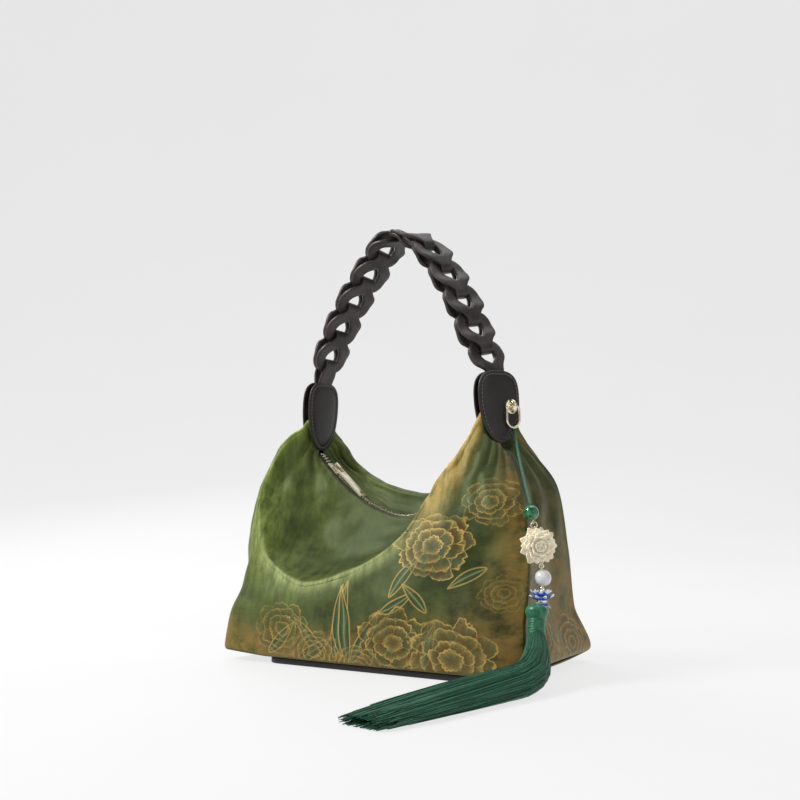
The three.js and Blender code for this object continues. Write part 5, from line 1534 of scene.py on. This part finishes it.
def strandsObject(name, count, sides, steps, radius):
    points, faces, flat = [], [], []
    for k in range(count):
        angle = rng.uniform(0, 2 * math.pi)
        depth = rng.uniform(0.0, 1.0) ** 0.22
        a0, b0 = math.cos(angle) * depth * 0.97, math.sin(angle) * depth * 0.97
        drift, sway, phase = rng.uniform(-0.10, 0.10), rng.uniform(0.0, 0.05), rng.uniform(0, 6.28)
        end = rng.uniform(0.90, 1.0) if k % 6 else rng.uniform(0.8, 0.97)
        extra = rng.uniform(-4, 5)
        tone = rng.uniform(0, 10)
        first = len(points)
        for i in range(steps + 1):
            s = i / steps
            t = s * end
            a = a0 + drift * s * s + sway * math.sin(5 * s + phase)
            b = b0 + sway * math.cos(4 * s + phase)
            p = strandPoint(t, a, b)
            p[2] = max(p[2], 0.6 + (1 - abs(b0)) * 0.5)
            if s > 0.9:
                p[0] += extra * (s - 0.9) * 3
                p[1] -= abs(extra) * (s - 0.9) * 2
            before, after = strandPoint(max(t - 0.02, 0), a, b), strandPoint(min(t + 0.02, 1), a, b)
            way = unit(after - before)
            lead = unit(np.cross(way, [0.3, 0.2, 1.0]))
            other = np.cross(way, lead)
            size = radius * (1 - 0.35 * s)
            for j in range(sides):
                q = 2 * math.pi * j / sides + phase
                r = p + lead * math.cos(q) * size + other * math.sin(q) * size
                r[2] = max(r[2], 0.25)
                points.append(r * mm)
                flat.append((tone + j * 0.01, s * 0.2 + tone))
        for i in range(steps):
            for j in range(sides):
                a, b = first + i * sides + j, first + i * sides + (j + 1) % sides
                faces.append((a, b, b + sides, a + sides))
    obj = meshObject(name, points, faces)
    layer = obj.data.uv_layers.new(name="cloth")
    for loop in obj.data.loops:
        layer.data[loop.index].uv = flat[loop.vertex_index]
    obj.data.materials.append(strandThread)
    return obj


def tasselCore():
    rings, sides = 60, 28
    points, faces = [], []
    for i in range(rings):
        t = i / (rings - 1) * 0.93
        for j in range(sides):
            angle = 2 * math.pi * j / sides
            p = strandPoint(t, math.cos(angle) * 0.86, math.sin(angle) * 0.8)
            p[2] = max(p[2], 0.5)
            points.append(p * mm)
    for i in range(rings - 1):
        for j in range(sides):
            a, b = i * sides + j, i * sides + (j + 1) % sides
            faces.append((a, b, b + sides, a + sides))
    faces.append(tuple(range(sides))[::-1])
    faces.append(tuple(range((rings - 1) * sides, rings * sides)))
    obj = meshObject("tassel_core", points, faces)
    obj.data.uv_layers.new(name="cloth")
    turnOut(obj)
    obj.data.materials.append(strandThread)
    return obj


neckEnd = np.array([143.5, -58, 35.0])
neckWay = unit(neckEnd - places["head"])
neckSide = unit(np.cross(neckWay, [0, 1, 0.3]))
neckOther = np.cross(neckWay, neckSide)


def headPoint(x, y, z):
    return places["head"] + neckSide * x + neckOther * y - neckWay * z


headProfile = [(1.0, 6.4), (4.0, 6.0), (6.6, 4.9), (8.2, 3.0), (8.6, 0.8), (8.2, -1.6), (7.2, -3.4),
               (6.4, -4.4)]
for i in range(40):
    ripple = 0.22 * math.sin(i * math.pi / 2 * 1.0)
    headProfile.append((6.5 + ripple, -4.6 - i * 0.30))
headProfile += [(6.7, -17.0), (7.0, -18.4), (6.2, -19.6)]
tassel = [strandsObject("tassel_strands", 1500, 3, 15, 0.42), tasselCore(),
          lathe("tassel_head", headProfile, headPoint, 48, boundThread)]
print("stage: tassel")


# Base board
def boardObject():
    half, deep, corner, thick = base["boardHalf"], 73.0, 12.0, base["boardThick"]
    outline = []
    for cx, cy, low in ((half - corner, -deep + corner, -90), (half - corner, deep - corner, 0),
                        (-half + corner, deep - corner, 90), (-half + corner, -deep + corner, 180)):
        for a in np.radians(np.linspace(low, low + 90, 14)):
            outline.append((cx + corner * math.cos(a), cy + corner * math.sin(a)))
    profile = [(1.2, 0.0), (0.3, 0.2), (0.0, 0.9), (0.0, thick - 0.9), (0.3, thick - 0.2), (1.2, thick),
               (6.0, thick)]
    points, faces = [], []
    count = len(outline)
    for inset, z in profile:
        for x, y in outline:
            points.append(np.array([x * (1 - inset / half), y * (1 - inset / deep), z]) * mm)
    for i in range(len(profile) - 1):
        for j in range(count):
            a, b = i * count + j, i * count + (j + 1) % count
            faces.append((a, b, b + count, a + count))
    faces.append(tuple(range(count))[::-1])
    faces.append(tuple(range((len(profile) - 1) * count, len(profile) * count)))
    obj = meshObject("board_leather", points, faces)
    turnOut(obj)
    obj.data.materials.append(leatherEdge)
    return obj


board = boardObject()

# What each piece stands for and rides on
for name, obj in body.items():
    thicken(obj, 1.2, -1)
riding = {}
riding["front_panel"] = [body["front"], welts[0]]
riding["back_panel"] = [body["back"], welts[1]]
riding["left_gusset"] = [body["left"]]
riding["right_gusset"] = [body["right"]]
riding["bottom_panel"] = [body["bottom"]]
riding["base_board"] = [board]
for node, obj in leaves.items():
    riding[node] = [obj]
for node, obj in links.items():
    riding[node] = [obj]
for group in (tapes, teeth):
    for node, obj in group.items():
        riding[node] = [obj]
riding.update(charm)
riding["tassel"] = tassel
riding["charm_cord"] = [cordPiece]
for node, objects in riding.items():
    for obj in objects:
        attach(obj, "bag")
    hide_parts(node)
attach(tabStitches, "bag")
for piece in (stitch, tooth):
    bpy.data.objects.remove(piece)


# Stage
def makeStage():
    rows = [(-3.0, 0.0), (0.9, 0.0)] + [(0.9 + 2.6 * math.sin(a),
                                         2.6 - 2.6 * math.cos(a)) for a in np.linspace(0.05, math.pi / 2,
                                                                                       24)]
    rows.append((3.5, 5.5))
    turn = math.radians(30)
    points = []
    for y, z in rows:
        for x in (-5.0, 5.0):
            points.append((x * math.cos(turn) - y * math.sin(turn), x * math.sin(turn) + y * math.cos(turn),
                           z))
    faces = [(2 * i, 2 * i + 1, 2 * i + 3, 2 * i + 2) for i in range(len(rows) - 1)]
    floor = meshObject("floor", points, faces)
    made, tree, shader = material("paper")
    tree.links.new(blendOf(tree, rangeOf(tree, noiseOf(tree, surfaceCoords(tree), 3.0), 0.3, 0.7),
                           hexColour("5c5c5c"), hexColour("595959")),
                   shader.inputs["Base Color"])
    shader.inputs["Roughness"].default_value = 0.9
    shader.inputs["Emission Color"].default_value = (1, 1, 1, 1)
    shader.inputs["Emission Strength"].default_value = 0.74
    floor.data.materials.append(made)
    world = bpy.data.worlds.new("studio")
    world.use_nodes = True
    world.node_tree.nodes["Background"].inputs[0].default_value = (1, 1, 1, 1)
    world.node_tree.nodes["Background"].inputs[1].default_value = 0.28
    scene.world = world
    for name, place, size, power in (("key", (-1.0, -1.0, 1.5), 0.6, 40.0),
                                     ("fill", (1.5, -0.6, 0.9), 1.2, 4.0),
                                     ("top", (0.1, 0.4, 1.9), 1.2, 10.0),
                                     ("rim", (-1.2, 0.9, 0.8), 0.8, 8.0)):
        data = bpy.data.lights.new(name, "AREA")
        data.size = size
        data.energy = power
        lamp = bpy.data.objects.new(name, data)
        lamp.location = place
        lamp.rotation_euler = (Vector((0.0, 0.0, 0.12)) - Vector(place)).to_track_quat("-Z", "Y").to_euler()
        scene.collection.objects.link(lamp)


makeStage()
scene.view_settings.view_transform = "Standard"
print("stage: done")
